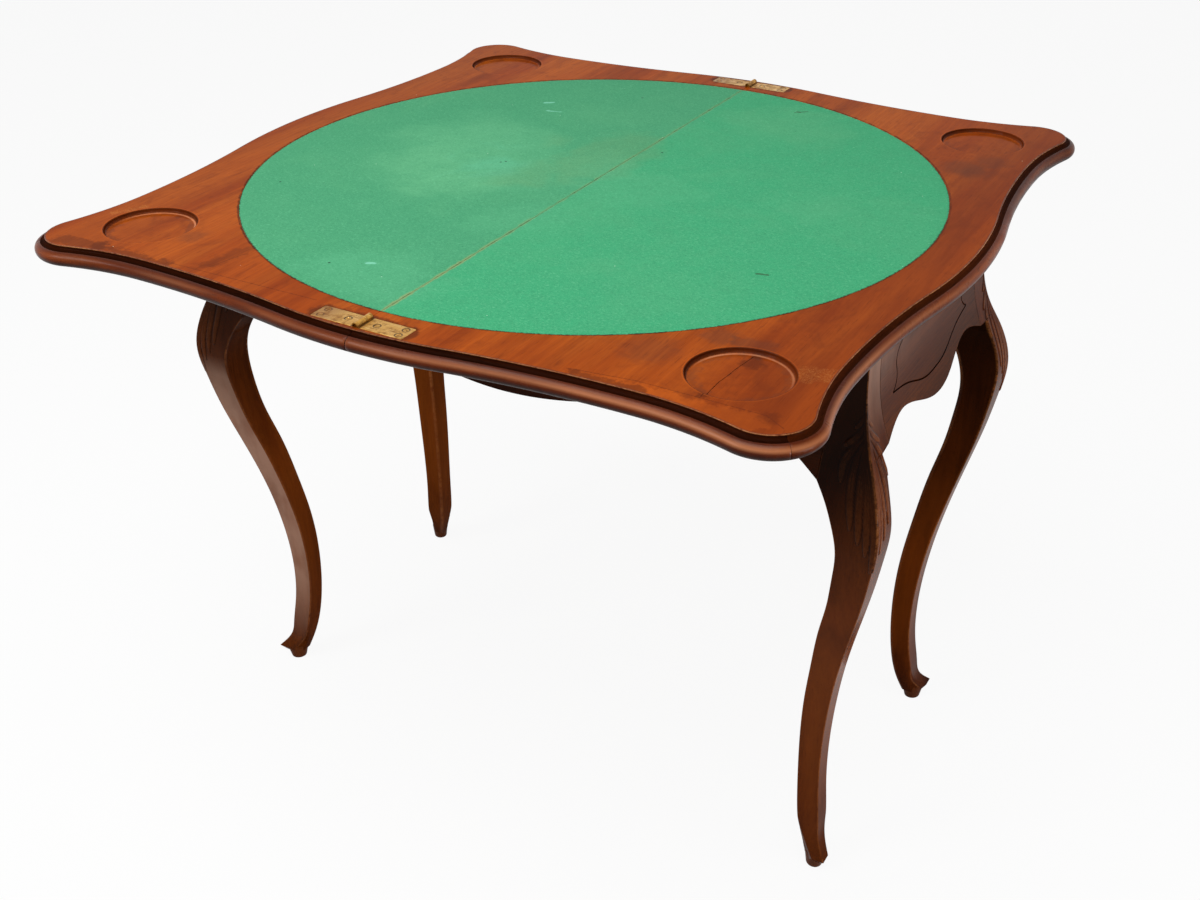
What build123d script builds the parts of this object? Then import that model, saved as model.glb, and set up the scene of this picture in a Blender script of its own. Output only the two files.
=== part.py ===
from build123d import *
import math
import os

os.makedirs("parts", exist_ok=True)

# Games table shown open. Millimetres, +Z up, origin on the floor below the centre.
# The fold line of the top lies along Y, the frame's long side along X.

# Top: half widths are taken at the edge of the flat surface, where the moulding starts.
# Each side swells in its middle, draws in to a waist and flares to a round corner.
top_height = 740.0
waist = 427.0
waist_share = 0.684
end_swell = 27.0
side_swell = 23.0
swell_radius = 620.0
corner_flare = 15.5
corner_radius = 40.0
leaf_thickness = 21.0
fold_gap = 0.15

# Moulding on the edge: a small arris, a cove and a half round below it
arris_drop = 1.5
cove_radius = 5.0
strip_inside = 1.5
round_radius = (leaf_thickness - arris_drop - cove_radius) / 2

# Baize and the turned counter dishes
felt_margin = 22.0
felt_thickness = 1.2
felt_recess = 1.0
felt_gap = 0.2
dish_inset = 49.5
dish_radius = 49.5
dish_depth = 5.0
dish_cove = 4.0

# Hinges let into the surface at both ends of the fold line
hinge_margin = 5.0
plate_length = 54.0
plate_width = 24.0
plate_thickness = 1.8
plate_gap = 0.1
axis_height = 1.0
barrel_radius = 3.5
barrel_clearance = 0.4
knuckle_gap = 0.3
knuckle_share = 1 / 3
pin_radius = 1.6
pin_gap = 0.05
screw_radius = 1.6
screw_head_radius = 3.3
screw_length = 13.0
screw_gap = 0.1
screw_inner = 17.0
screw_outer = 46.0
screw_spread = 12.0

# Frame: leg places are the centres of the feet
swivel_gap = 0.5
leg_x = 404.0
leg_y = 177.0
apron_depth = 155.5
knee_reach = 49.0
inner_sweep = 34.0
post_inside = 24.0
pad_height = 14.0
pad_radius = 10.5
pad_top_radius = 13.5
pad_lap = 1.0
heel_front = 11.5
heel_back = 12.5
foot_height = 74.0
foot_width = 20.5
apron_inside = 13.0
glue_gap = 0.1

# Cabriole leg: height, and reach out of the foot's centre as a share of the knee's reach.
# Heights run from 0 at the floor over 1 at the apron's lower corners to 2 at the top of
# the frame.
front_shares = (
    (2.000, 0.224),
    (1.495, 0.276),
    (1.238, 0.480),
    (1.064, 0.708),
    (0.968, 0.902),
    (0.915, 1.004),
    (0.844, 0.935),
    (0.764, 0.775),
    (0.654, 0.483),
    (0.533, 0.175),
    (0.417, -0.030),
    (0.284, -0.133),
    (0.178, -0.080),
    (0.107, 0.024),
    (0.067, 0.120),
    (0.039, 0.368),
)
# Back of the leg: height as before, offset as a share of the inner sweep
back_shares = (
    (0.062, -0.574),
    (0.107, -0.750),
    (0.178, -0.912),
    (0.266, -1.000),
    (0.355, -0.997),
    (0.444, -0.894),
    (0.533, -0.700),
    (0.654, -0.365),
    (0.728, -0.094),
    (0.803, 0.079),
    (0.879, 0.147),
)
# Sides of the foot, cut back to the sole: shares of the foot's height and half width
foot_side_shares = ((0, 0.39), (0.19, 0.48), (0.36, 0.56), (0.62, 0.74), (1, 1))
# Ear of the leg towards the long apron, ending at the joint
long_ear_shares = ((0.932, -0.074), (0.968, -0.353))
# Ear towards the end apron, with a notch before the joint
end_ear_shares = ((0.936, 0.221), (0.986, 0.118))
end_notch_rise = 10.0
end_notch_inside = 2.0
end_ear_rise = 26.0

# Lower edge of the aprons: rises over the lower corners, places as shares of the half length
long_lobe_rise = 1.0
end_lobe_rise = 16.0
arch_rise = 39.0
long_arch_share = 0.66
long_lobe_share = 0.30
long_fall_share = 0.92
end_arch_share = 0.68
end_lobe_share = 0.25

# Tenons of the aprons
tenon_length = 13.8
tenon_thickness = 9.0
tenon_inside = 2.5
tenon_height = 78.0
tenon_shoulder = 14.5

# Cross rail, pivot and stop
rail_width = 150.0
rail_thickness = 22.0
housing_depth = 8.0
pivot_plate_side = 76.0
pivot_plate_thickness = 3.0
pivot_screw_place = 28.0
pivot_screw_length = 12.0
stud_radius = 6.0
stud_length = 39.0
bush_gap = 0.05
bush_radius = 9.0
flange_radius = 16.0
flange_thickness = 2.0
washer_radius = 15.0
washer_thickness = 2.5
washer_gap = 0.3
nut_side = 20.0
nut_thickness = 9.0
nut_chamfer = 1.5
peg_radius = 5.0
peg_seat = 12.0
peg_reach = 10.0
groove_radius = 45.0
groove_gap = 0.4
groove_depth = 12.0
block_side = 14.0
block_length = 40.0

# Storage well below the top
well_depth = 88.5
floor_thickness = 8.0
bearer_width = 12.0
bearer_height = 14.0

# Cuts run past the faces by this much
overrun = 5.0

leaves = {"lower": 1, "folding": -1}
ends = {"near": -1, "far": 1}
waist_place = waist * waist_share
corner_place = waist + corner_flare - corner_radius
leaf_reach = waist + end_swell + cove_radius + round_radius
pivot_place = leaf_reach / 4
felt_radius = waist - felt_margin
dish_place = corner_place - dish_inset
hinge_place = waist + side_swell - hinge_margin - plate_width / 2
axis_z = top_height + axis_height
leaf_bottom = top_height - leaf_thickness
frame_top = leaf_bottom - swivel_gap
ear_height = frame_top - apron_depth
post_x = leg_x - post_inside
post_y = leg_y - post_inside
long_back = leg_y - apron_inside
end_back = leg_x - apron_inside
rail_bottom = frame_top - rail_thickness
tenon_middle = frame_top - tenon_shoulder - tenon_height / 2
well_floor = frame_top - well_depth


def on_circle(centre, radius, degrees):
    turn = math.radians(degrees)
    return (centre[0] + radius * math.cos(turn), centre[1] + radius * math.sin(turn))


def arc_points(centre, radius, start, end):
    return [on_circle(centre, radius, a) for a in (start, (start + end) / 2, end)]


def half_edge(swell):
    """Arcs of the top's edge from the middle of its far side to the corner's mitre."""
    both_radii = (waist_place**2 + swell**2) / (2 * swell)
    waist_radius = both_radii - swell_radius
    swell_turn = math.degrees(math.asin(waist_place / both_radii))
    run = corner_place - waist_place
    rise = waist - corner_place
    flare_radius = (run**2 + rise**2 - corner_radius**2) / (2 * (corner_radius - rise))
    flare_turn = math.degrees(math.asin(run / (flare_radius + corner_radius)))
    return [
        arc_points((0, waist + swell - swell_radius), swell_radius, 90, 90 - swell_turn),
        arc_points((waist_place, waist + waist_radius), waist_radius, 270 - swell_turn, 270),
        arc_points((waist_place, waist + flare_radius), flare_radius, 270, 270 + flare_turn),
        arc_points((corner_place, corner_place), corner_radius, 90 + flare_turn, 45),
    ]


def turned(arcs, x_sign=1, y_sign=1):
    return [[(x_sign * x, y_sign * y) for x, y in arc] for arc in arcs]


def swapped(arcs):
    return [[(y, x) for x, y in arc] for arc in arcs]


def reversed_run(arcs):
    return [arc[::-1] for arc in arcs[::-1]]


side_run = half_edge(side_swell)
end_half = swapped(half_edge(end_swell))
end_run = reversed_run(turned(end_half, y_sign=-1)) + end_half


def draw_run(arcs, height):
    for arc in arcs:
        ThreePointArc(*[(x, y, height) for x, y in arc])


def hinge_screws(side, y_sign):
    """One screw near the barrel and a pair at the plate's end."""
    middle = y_sign * hinge_place
    return [
        (side * screw_inner, middle, top_height),
        (side * screw_outer, middle - screw_spread / 2, top_height),
        (side * screw_outer, middle + screw_spread / 2, top_height),
    ]


# Leaf boards
for leaf, side in leaves.items():
    with BuildPart() as board:
        with BuildSketch(Plane.XY.offset(leaf_bottom)):
            with BuildLine():
                for x_sign in (1, -1):
                    for y_sign in (1, -1):
                        draw_run(turned(side_run + end_half, x_sign, y_sign), 0)
            make_face()
            offset(amount=-strip_inside)
            with Locations((side * (fold_gap + leaf_reach), 0)):
                Rectangle(2 * leaf_reach, 4 * leaf_reach, mode=Mode.INTERSECT)
        extrude(amount=leaf_thickness)
        with Locations((0, 0, top_height)):
            Cylinder(
                felt_radius + felt_gap,
                2 * felt_recess,
                mode=Mode.SUBTRACT,
            )
        for y_sign in ends.values():
            with Locations((side * dish_place, y_sign * dish_place, top_height)):
                Cylinder(dish_radius, 2 * dish_depth, mode=Mode.SUBTRACT)
            with Locations((0, y_sign * hinge_place, top_height)):
                Box(
                    2 * (plate_length + plate_gap),
                    plate_width + 2 * plate_gap,
                    2 * plate_thickness,
                    mode=Mode.SUBTRACT,
                )
            with Locations((0, y_sign * hinge_place, axis_z)):
                Cylinder(
                    barrel_radius + barrel_clearance,
                    plate_width + 2 * knuckle_gap,
                    rotation=(90, 0, 0),
                    mode=Mode.SUBTRACT,
                )
            with Locations(*hinge_screws(side, y_sign)):
                Cylinder(
                    screw_radius + screw_gap,
                    2 * (screw_length + screw_gap),
                    mode=Mode.SUBTRACT,
                )
        dish_rims = board.edges().filter_by(GeomType.CIRCLE)
        dish_floor = top_height - dish_depth
        fillet(
            [e for e in dish_rims if abs(e.center().Z - dish_floor) < glue_gap],
            radius=dish_cove,
        )
        if leaf == "lower":
            with Locations((pivot_place, pivot_place, leaf_bottom)):
                Box(
                    pivot_plate_side + 2 * glue_gap,
                    pivot_plate_side + 2 * glue_gap,
                    2 * pivot_plate_thickness,
                    mode=Mode.SUBTRACT,
                )
                with GridLocations(2 * pivot_screw_place, 2 * pivot_screw_place, 2, 2):
                    Cylinder(
                        screw_radius + screw_gap,
                        2 * (pivot_screw_length + screw_gap),
                        mode=Mode.SUBTRACT,
                    )
            with Locations((pivot_place, pivot_place - groove_radius, leaf_bottom)):
                Cylinder(peg_radius, 2 * peg_seat, mode=Mode.SUBTRACT)
    board.part.label = f"{leaf}_leaf_board"
    export_step(board.part, f"parts/{leaf}_leaf_board.step")


def moulding_section(start, outward):
    """Section of the edge moulding, upright at the start of a run."""
    out = Vector(outward[0], outward[1], 0).normalized()
    plane = Plane(
        origin=(start[0], start[1], top_height),
        x_dir=out,
        z_dir=out.cross(Vector(0, 0, 1)),
    )
    cove_turn = cove_radius * math.sqrt(0.5)
    with BuildSketch(plane) as section:
        with BuildLine():
            Polyline(
                (cove_radius, -leaf_thickness),
                (-strip_inside, -leaf_thickness),
                (-strip_inside, 0),
                (0, 0),
                (0, -arris_drop),
            )
            ThreePointArc(
                (0, -arris_drop),
                (cove_radius - cove_turn, -arris_drop - cove_turn),
                (cove_radius, -arris_drop - cove_radius),
            )
            ThreePointArc(
                (cove_radius, -arris_drop - cove_radius),
                (cove_radius + round_radius, round_radius - leaf_thickness),
                (cove_radius, -leaf_thickness),
            )
        make_face()
    return section


# Edge mouldings: each leaf has an end run and two side runs, mitred at the corners
for leaf, side in leaves.items():
    with BuildPart() as end_moulding:
        with BuildLine() as path:
            draw_run(turned(end_run, x_sign=side), top_height)
        section = moulding_section(turned(end_run, x_sign=side)[0][0], (side, -1))
        sweep(sections=section.sketch, path=path.wires()[0])
    end_moulding.part.label = f"{leaf}_leaf_end_moulding"
    export_step(end_moulding.part, f"parts/{leaf}_leaf_end_moulding.step")
    for end, y_sign in ends.items():
        with BuildPart() as side_moulding:
            run = turned(side_run, x_sign=side, y_sign=y_sign)
            with BuildLine() as path:
                draw_run(run, top_height)
            section = moulding_section(run[0][0], (0, y_sign))
            sweep(sections=section.sketch, path=path.wires()[0])
            with Locations((0, y_sign * leaf_reach, top_height)):
                Box(
                    2 * fold_gap,
                    leaf_reach,
                    4 * leaf_thickness,
                    mode=Mode.SUBTRACT,
                )
        side_moulding.part.label = f"{leaf}_leaf_{end}_moulding"
        export_step(side_moulding.part, f"parts/{leaf}_leaf_{end}_moulding.step")

# Baize halves
for leaf, side in leaves.items():
    with BuildPart() as felt:
        with BuildSketch(Plane.XY.offset(top_height - felt_recess)):
            Circle(felt_radius)
            with Locations((side * (fold_gap + felt_radius), 0)):
                Rectangle(2 * felt_radius, 4 * felt_radius, mode=Mode.INTERSECT)
        extrude(amount=felt_thickness)
    felt.part.label = f"{leaf}_leaf_felt"
    export_step(felt.part, f"parts/{leaf}_leaf_felt.step")

# Hinge plates: the lower leaf's plate carries the outer knuckles, the other the middle one
middle_knuckle = plate_width * knuckle_share
outer_knuckle = (plate_width - middle_knuckle) / 2 - knuckle_gap
outer_place = (plate_width - outer_knuckle) / 2
knuckles = {
    "lower": {
        "own": [(-outer_place, outer_knuckle), (outer_place, outer_knuckle)],
        "other": [(0, middle_knuckle + 2 * knuckle_gap)],
    },
    "folding": {
        "own": [(0, middle_knuckle)],
        "other": [
            (-outer_place, outer_knuckle + 2 * knuckle_gap),
            (outer_place, outer_knuckle + 2 * knuckle_gap),
        ],
    },
}
for leaf, side in leaves.items():
    for end, y_sign in ends.items():
        hinge_y = y_sign * hinge_place
        with BuildPart() as plate:
            with Locations((side * plate_length / 2, hinge_y, top_height)):
                Box(
                    plate_length,
                    plate_width,
                    plate_thickness,
                    align=(Align.CENTER, Align.CENTER, Align.MAX),
                )
            with Locations((0, hinge_y, axis_z)):
                Cylinder(
                    barrel_radius + barrel_clearance,
                    plate_width + 2 * overrun,
                    rotation=(90, 0, 0),
                    mode=Mode.SUBTRACT,
                )
            for knuckle_y, length in knuckles[leaf]["own"]:
                with Locations((0, hinge_y + knuckle_y, axis_z)):
                    Cylinder(barrel_radius, length, rotation=(90, 0, 0))
                with Locations(
                    (
                        side * (barrel_radius + barrel_clearance) / 2,
                        hinge_y + knuckle_y,
                        top_height,
                    )
                ):
                    Box(
                        barrel_radius + barrel_clearance,
                        length,
                        plate_thickness,
                        align=(Align.CENTER, Align.CENTER, Align.MAX),
                    )
            with Locations((0, hinge_y, axis_z)):
                Cylinder(
                    pin_radius + pin_gap,
                    plate_width + 2 * overrun,
                    rotation=(90, 0, 0),
                    mode=Mode.SUBTRACT,
                )
            with Locations(*hinge_screws(side, y_sign)):
                CounterSinkHole(
                    screw_radius + pin_gap,
                    screw_head_radius + pin_gap,
                    depth=plate_thickness,
                )
        plate.part.label = f"{leaf}_hinge_plate_{end}"
        export_step(plate.part, f"parts/{leaf}_hinge_plate_{end}.step")

for end, y_sign in ends.items():
    with BuildPart() as pin:
        with Locations((0, y_sign * hinge_place, axis_z)):
            Cylinder(pin_radius, plate_width, rotation=(90, 0, 0))
    pin.part.label = f"hinge_pin_{end}"
    export_step(pin.part, f"parts/hinge_pin_{end}.step")


def add_screw(length):
    """Countersunk screw with its head at the context's location, pointing down."""
    Cylinder(screw_radius, length, align=(Align.CENTER, Align.CENTER, Align.MAX))
    Cone(
        screw_radius,
        screw_head_radius,
        screw_head_radius - screw_radius,
        align=(Align.CENTER, Align.CENTER, Align.MAX),
    )


for leaf, side in leaves.items():
    with BuildPart() as screws:
        for y_sign in ends.values():
            with Locations(*hinge_screws(side, y_sign)):
                add_screw(screw_length)
    screws.part.label = f"{leaf}_hinge_screws"
    export_step(screws.part, f"parts/{leaf}_hinge_screws.step")


def leg_height(share):
    return min(share, 1) * ear_height + max(share - 1, 0) * apron_depth


def front_points(place):
    """Bombé outline shared by the legs and the aprons, from the top down to the toe."""
    return [
        (place + reach * knee_reach, leg_height(height))
        for height, reach in front_shares
    ]


def back_points(place, ear_shares):
    return [
        (place + offset * inner_sweep, leg_height(height))
        for height, offset in back_shares + ear_shares
    ]


def leg_outline(place, ear_shares, ear_points):
    """One face of the cabriole leg, as it is sawn from the square."""
    front = front_points(place)
    heel = (place - heel_back, pad_height - pad_lap)
    with BuildLine() as outline:
        Spline(*front)
        Polyline(front[-1], (place + heel_front, pad_height - pad_lap), heel)
        Spline(heel, *back_points(place, ear_shares), ear_points[0])
        Polyline(*ear_points, (place - post_inside, frame_top), front[0])
    make_face(outline.edges())


def foot_outline():
    """Front of the foot, seen along the leg's diagonal, with free space round the leg."""
    sides = [
        (width * foot_width, height * foot_height) for height, width in foot_side_shares
    ]
    others = [(-x, z) for x, z in sides[::-1]]
    clear = 2 * knee_reach
    with BuildLine() as outline:
        Spline(*sides)
        Polyline(
            sides[-1],
            (clear, foot_height),
            (clear, frame_top + overrun),
            (-clear, frame_top + overrun),
            (-clear, foot_height),
            others[0],
        )
        Spline(*others)
        Line(others[-1], sides[0])
    make_face(outline.edges())


# Far right leg, sawn from two faces, with the foot's turned pad
with BuildPart() as far_right_leg:
    with BuildSketch(Plane.XZ):
        leg_outline(leg_x, long_ear_shares, [(post_x, ear_height)])
    extrude(amount=2 * leg_y, both=True)
    with BuildSketch(Plane.YZ):
        leg_outline(
            leg_y,
            end_ear_shares,
            [
                (leg_y - end_notch_inside, ear_height + end_notch_rise),
                (post_y, ear_height + end_ear_rise),
            ],
        )
    extrude(amount=2 * leg_x, both=True, mode=Mode.INTERSECT)
    with Locations((leg_x, leg_y, 0)):
        Cone(
            pad_radius,
            pad_top_radius,
            pad_height,
            align=(Align.CENTER, Align.CENTER, Align.MIN),
        )
    diagonal = Plane(origin=(leg_x, leg_y, 0), x_dir=(-1, 1, 0), z_dir=(1, 1, 0))
    with BuildSketch(diagonal):
        foot_outline()
    extrude(amount=2 * knee_reach, both=True, mode=Mode.INTERSECT)
    with Locations((post_x, leg_y - tenon_inside, tenon_middle)):
        Box(
            2 * (tenon_length + glue_gap),
            tenon_thickness + 2 * glue_gap,
            tenon_height + 2 * glue_gap,
            mode=Mode.SUBTRACT,
        )
    with Locations((leg_x - tenon_inside, post_y, tenon_middle)):
        Box(
            tenon_thickness + 2 * glue_gap,
            2 * (tenon_length + glue_gap),
            tenon_height + 2 * glue_gap,
            mode=Mode.SUBTRACT,
        )
with BuildPart() as near_right_leg:
    mirror(far_right_leg.part, about=Plane.XZ)
with BuildPart() as far_left_leg:
    mirror(far_right_leg.part, about=Plane.YZ)
with BuildPart() as near_left_leg:
    mirror(far_left_leg.part, about=Plane.XZ)
legs = {
    "leg_far_right": far_right_leg,
    "leg_near_right": near_right_leg,
    "leg_far_left": far_left_leg,
    "leg_near_left": near_left_leg,
}
for name, leg in legs.items():
    leg.part.label = name
    export_step(leg.part, f"parts/{name}.step")


def apron_section(place):
    """Bombé section of an apron, cut off below by its lobed outline."""
    front = front_points(place)
    with BuildLine() as outline:
        Spline(*front)
        Polyline(
            front[-1],
            (place - apron_inside, front[-1][1]),
            (place - apron_inside, frame_top),
            front[0],
        )
    make_face(outline.edges())


def apron_outline(half_length, lower_edge):
    """Front view of an apron. Its lower edge is given from the middle to the joint, as
    rises over the ears."""
    right = [(x, ear_height + rise) for x, rise in lower_edge]
    left = [(-x, z) for x, z in right[::-1]]
    with BuildLine() as outline:
        Spline(*left[:-1], *right)
        Polyline(
            right[-1],
            (half_length, frame_top),
            (-half_length, frame_top),
            left[0],
        )
    make_face(outline.edges())


# Aprons, each with its two tenons
with BuildPart() as right_apron:
    with BuildSketch(Plane.XZ):
        apron_section(leg_x)
    extrude(amount=post_y, both=True)
    with BuildSketch(Plane.YZ):
        apron_outline(
            post_y,
            [
                (0, end_lobe_rise),
                (end_lobe_share * post_y, (end_lobe_rise * 3 + arch_rise) / 4),
                (end_arch_share * post_y, arch_rise),
                (post_y, end_ear_rise),
            ],
        )
    extrude(amount=2 * leg_x, both=True, mode=Mode.INTERSECT)
    with Locations((leg_x - tenon_inside, 0, tenon_middle)):
        Box(
            tenon_thickness,
            2 * (post_y + tenon_length),
            tenon_height,
        )
with BuildPart() as left_apron:
    mirror(right_apron.part, about=Plane.YZ)
with BuildPart() as far_apron:
    with BuildSketch(Plane.YZ):
        apron_section(leg_y)
    extrude(amount=post_x, both=True)
    with BuildSketch(Plane.XZ):
        apron_outline(
            post_x,
            [
                (0, long_lobe_rise),
                (long_lobe_share * post_x, (long_lobe_rise * 2 + arch_rise) / 3),
                (long_arch_share * post_x, arch_rise),
                (long_fall_share * post_x, arch_rise / 2),
                (post_x, 0),
            ],
        )
    extrude(amount=2 * leg_y, both=True, mode=Mode.INTERSECT)
    with Locations((0, leg_y - tenon_inside, tenon_middle)):
        Box(
            2 * (post_x + tenon_length),
            tenon_thickness,
            tenon_height,
        )
    with Locations((pivot_place, long_back, frame_top)):
        Box(
            rail_width + 2 * glue_gap,
            2 * (housing_depth + glue_gap),
            2 * (rail_thickness + glue_gap),
            mode=Mode.SUBTRACT,
        )
with BuildPart() as near_apron:
    mirror(far_apron.part, about=Plane.XZ)
aprons = {
    "apron_right": right_apron,
    "apron_left": left_apron,
    "apron_far": far_apron,
    "apron_near": near_apron,
}
for name, apron in aprons.items():
    apron.part.label = name
    export_step(apron.part, f"parts/{name}.step")

# Cross rail with the bush's seat and the quarter-circle stop groove
with BuildPart() as rail:
    with Locations((pivot_place, 0, frame_top)):
        Box(
            rail_width,
            2 * (long_back + housing_depth),
            rail_thickness,
            align=(Align.CENTER, Align.CENTER, Align.MAX),
        )
    with Locations((pivot_place, pivot_place, frame_top)):
        Cylinder(flange_radius, 2 * flange_thickness, mode=Mode.SUBTRACT)
        Cylinder(bush_radius, 2 * (rail_thickness + overrun), mode=Mode.SUBTRACT)
    with BuildSketch(Plane.XY.offset(frame_top)):
        groove = CenterArc(
            (pivot_place, pivot_place), groove_radius, 180, 90, mode=Mode.PRIVATE
        )
        SlotArc(groove, 2 * (peg_radius + groove_gap))
    extrude(amount=-groove_depth, mode=Mode.SUBTRACT)
rail.part.label = "cross_rail"
export_step(rail.part, "parts/cross_rail.step")

with BuildPart() as blocks:
    with Locations((pivot_place, 0, rail_bottom)):
        with GridLocations(
            rail_width - block_length, 2 * long_back - block_side, 2, 2
        ):
            Box(
                block_length,
                block_side,
                block_side,
                align=(Align.CENTER, Align.CENTER, Align.MAX),
            )
blocks.part.label = "rail_glue_blocks"
export_step(blocks.part, "parts/rail_glue_blocks.step")

with BuildPart() as bush:
    with Locations((pivot_place, pivot_place, frame_top)):
        Cylinder(
            bush_radius,
            rail_thickness,
            align=(Align.CENTER, Align.CENTER, Align.MAX),
        )
        Cylinder(
            flange_radius,
            flange_thickness,
            align=(Align.CENTER, Align.CENTER, Align.MAX),
        )
        Cylinder(
            stud_radius + bush_gap,
            2 * (rail_thickness + overrun),
            mode=Mode.SUBTRACT,
        )
bush.part.label = "pivot_bush"
export_step(bush.part, "parts/pivot_bush.step")

with BuildPart() as washer:
    with Locations((pivot_place, pivot_place, rail_bottom)):
        Cylinder(
            washer_radius,
            washer_thickness,
            align=(Align.CENTER, Align.CENTER, Align.MAX),
        )
        Cylinder(stud_radius + groove_gap, 4 * washer_thickness, mode=Mode.SUBTRACT)
washer.part.label = "pivot_washer"
export_step(washer.part, "parts/pivot_washer.step")

with BuildPart() as nut:
    with Locations(
        (pivot_place, pivot_place, rail_bottom - washer_thickness - washer_gap)
    ):
        Box(
            nut_side,
            nut_side,
            nut_thickness,
            align=(Align.CENTER, Align.CENTER, Align.MAX),
        )
        Cylinder(stud_radius + bush_gap, 4 * nut_thickness, mode=Mode.SUBTRACT)
    chamfer(nut.edges().filter_by(Axis.Z), length=nut_chamfer)
nut.part.label = "pivot_nut"
export_step(nut.part, "parts/pivot_nut.step")

with BuildPart() as pivot_plate:
    with Locations((pivot_place, pivot_place, leaf_bottom)):
        Box(
            pivot_plate_side,
            pivot_plate_side,
            pivot_plate_thickness,
            align=(Align.CENTER, Align.CENTER, Align.MIN),
        )
        with Locations((0, 0, pivot_plate_thickness)):
            Cylinder(
                stud_radius,
                stud_length,
                align=(Align.CENTER, Align.CENTER, Align.MAX),
            )
    with Locations(Location((pivot_place, pivot_place, leaf_bottom), (180, 0, 0))):
        with GridLocations(2 * pivot_screw_place, 2 * pivot_screw_place, 2, 2):
            CounterSinkHole(
                screw_radius + pin_gap,
                screw_head_radius + pin_gap,
                depth=pivot_plate_thickness,
            )
pivot_plate.part.label = "pivot_plate"
export_step(pivot_plate.part, "parts/pivot_plate.step")

with BuildPart() as pivot_screws:
    with Locations(Location((pivot_place, pivot_place, leaf_bottom), (180, 0, 0))):
        with GridLocations(2 * pivot_screw_place, 2 * pivot_screw_place, 2, 2):
            add_screw(pivot_screw_length)
pivot_screws.part.label = "pivot_plate_screws"
export_step(pivot_screws.part, "parts/pivot_plate_screws.step")

with BuildPart() as peg:
    with Locations((pivot_place, pivot_place - groove_radius, leaf_bottom)):
        with Locations((0, 0, peg_seat)):
            Cylinder(
                peg_radius,
                peg_seat + peg_reach,
                align=(Align.CENTER, Align.CENTER, Align.MAX),
            )
peg.part.label = "stop_peg"
export_step(peg.part, "parts/stop_peg.step")

# Well: bearers glued to the aprons carry the notched floor board
with BuildPart() as bearers:
    with Locations((0, 0, well_floor - floor_thickness)):
        with GridLocations(0, 2 * long_back - bearer_width, 1, 2):
            Box(
                2 * (post_x - glue_gap),
                bearer_width,
                bearer_height,
                align=(Align.CENTER, Align.CENTER, Align.MAX),
            )
        with GridLocations(2 * end_back - bearer_width, 0, 2, 1):
            Box(
                bearer_width,
                2 * (post_y - glue_gap) - 2 * bearer_width,
                bearer_height,
                align=(Align.CENTER, Align.CENTER, Align.MAX),
            )
bearers.part.label = "well_bearers"
export_step(bearers.part, "parts/well_bearers.step")

with BuildPart() as well_board:
    with BuildSketch(Plane.XY.offset(well_floor)):
        Rectangle(2 * (end_back - glue_gap), 2 * (long_back - glue_gap))
        with GridLocations(2 * end_back, 2 * long_back, 2, 2):
            Rectangle(
                2 * (end_back - post_x + glue_gap),
                2 * (long_back - post_y + glue_gap),
                mode=Mode.SUBTRACT,
            )
    extrude(amount=-floor_thickness)
well_board.part.label = "well_floor_board"
export_step(well_board.part, "parts/well_floor_board.step")
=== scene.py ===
import math

import bmesh
import bpy
import numpy as np
from mathutils import Matrix, Vector, noise


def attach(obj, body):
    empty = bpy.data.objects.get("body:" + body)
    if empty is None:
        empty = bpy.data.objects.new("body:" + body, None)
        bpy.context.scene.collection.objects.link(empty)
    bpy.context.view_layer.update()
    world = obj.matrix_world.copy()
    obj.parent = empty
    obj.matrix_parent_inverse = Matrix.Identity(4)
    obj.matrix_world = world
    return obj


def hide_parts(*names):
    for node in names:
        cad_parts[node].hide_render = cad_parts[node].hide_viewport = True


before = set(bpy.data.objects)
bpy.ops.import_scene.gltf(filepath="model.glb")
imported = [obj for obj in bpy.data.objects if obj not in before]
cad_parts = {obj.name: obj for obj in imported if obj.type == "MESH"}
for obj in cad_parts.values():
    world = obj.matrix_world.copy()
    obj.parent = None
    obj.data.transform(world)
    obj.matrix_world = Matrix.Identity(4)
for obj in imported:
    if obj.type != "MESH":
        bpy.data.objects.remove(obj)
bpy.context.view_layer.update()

# Lengths of the table are in millimetres, those of the camera, floor and lamps in metres
MM = 0.001
# The top's height and thickness, the half gap at its seam, and how far the moulding laps it
TOP, THICK, GAP, LAP = 740.0, 21.0, 0.15, 1.5
# Its outline: waist, swells of the sides and ends, place of the waist and of the corner
WAIST, SIDE_SWELL, END_SWELL, SWELL_RADIUS = 427.0, 23.0, 27.0, 620.0
WAIST_PLACE, CORNER, CORNER_RADIUS = 0.684 * WAIST, 402.5, 40.0
# Radius of the baize, and place, radius and cove of the counter dishes
BAIZE, DISH, DISH_RADIUS, DISH_COVE = 405.0, 353.0, 49.5, 4.0
# Hinges: place along the seam, height of the axis, room for the knuckles, plates and screws
HINGE, AXIS, KNUCKLE_ROOM = 433.0, 741.0, 3.9
PLATE_LENGTH, PLATE_HALF, PLATE_THICK = 54.0, 12.0, 1.8
SCREWS = ((17, 0), (46, -6), (46, 6))
CAMERA_PLACE = (0.79912, -1.36318, 1.32125)
CAMERA_AZIMUTH, CAMERA_ELEVATION, CAMERA_ROLL = 29.978, 30.966, -0.362
LENS, SENSOR, SHIFT = 42.575, 36, -0.0048
FLOOR_SIZE, FLOOR_GLOW = 40, 0.93
AMBIENT = 0.08
AIM = (0, -0.2, 0.4)
# Lamps: place, place lit, size and power
LAMPS = {
    "overhead": ((-0.05, -0.9, 3.2), AIM, (2.8, 2.0), 84),
    "front": ((-1.6, -2.4, 2.4), AIM, (1.2, 1.0), 28),
    "right": ((2.5, -0.2, 0.36), (0.4, 0, 0.4), (1.2, 0.6), 22),
}


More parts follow.
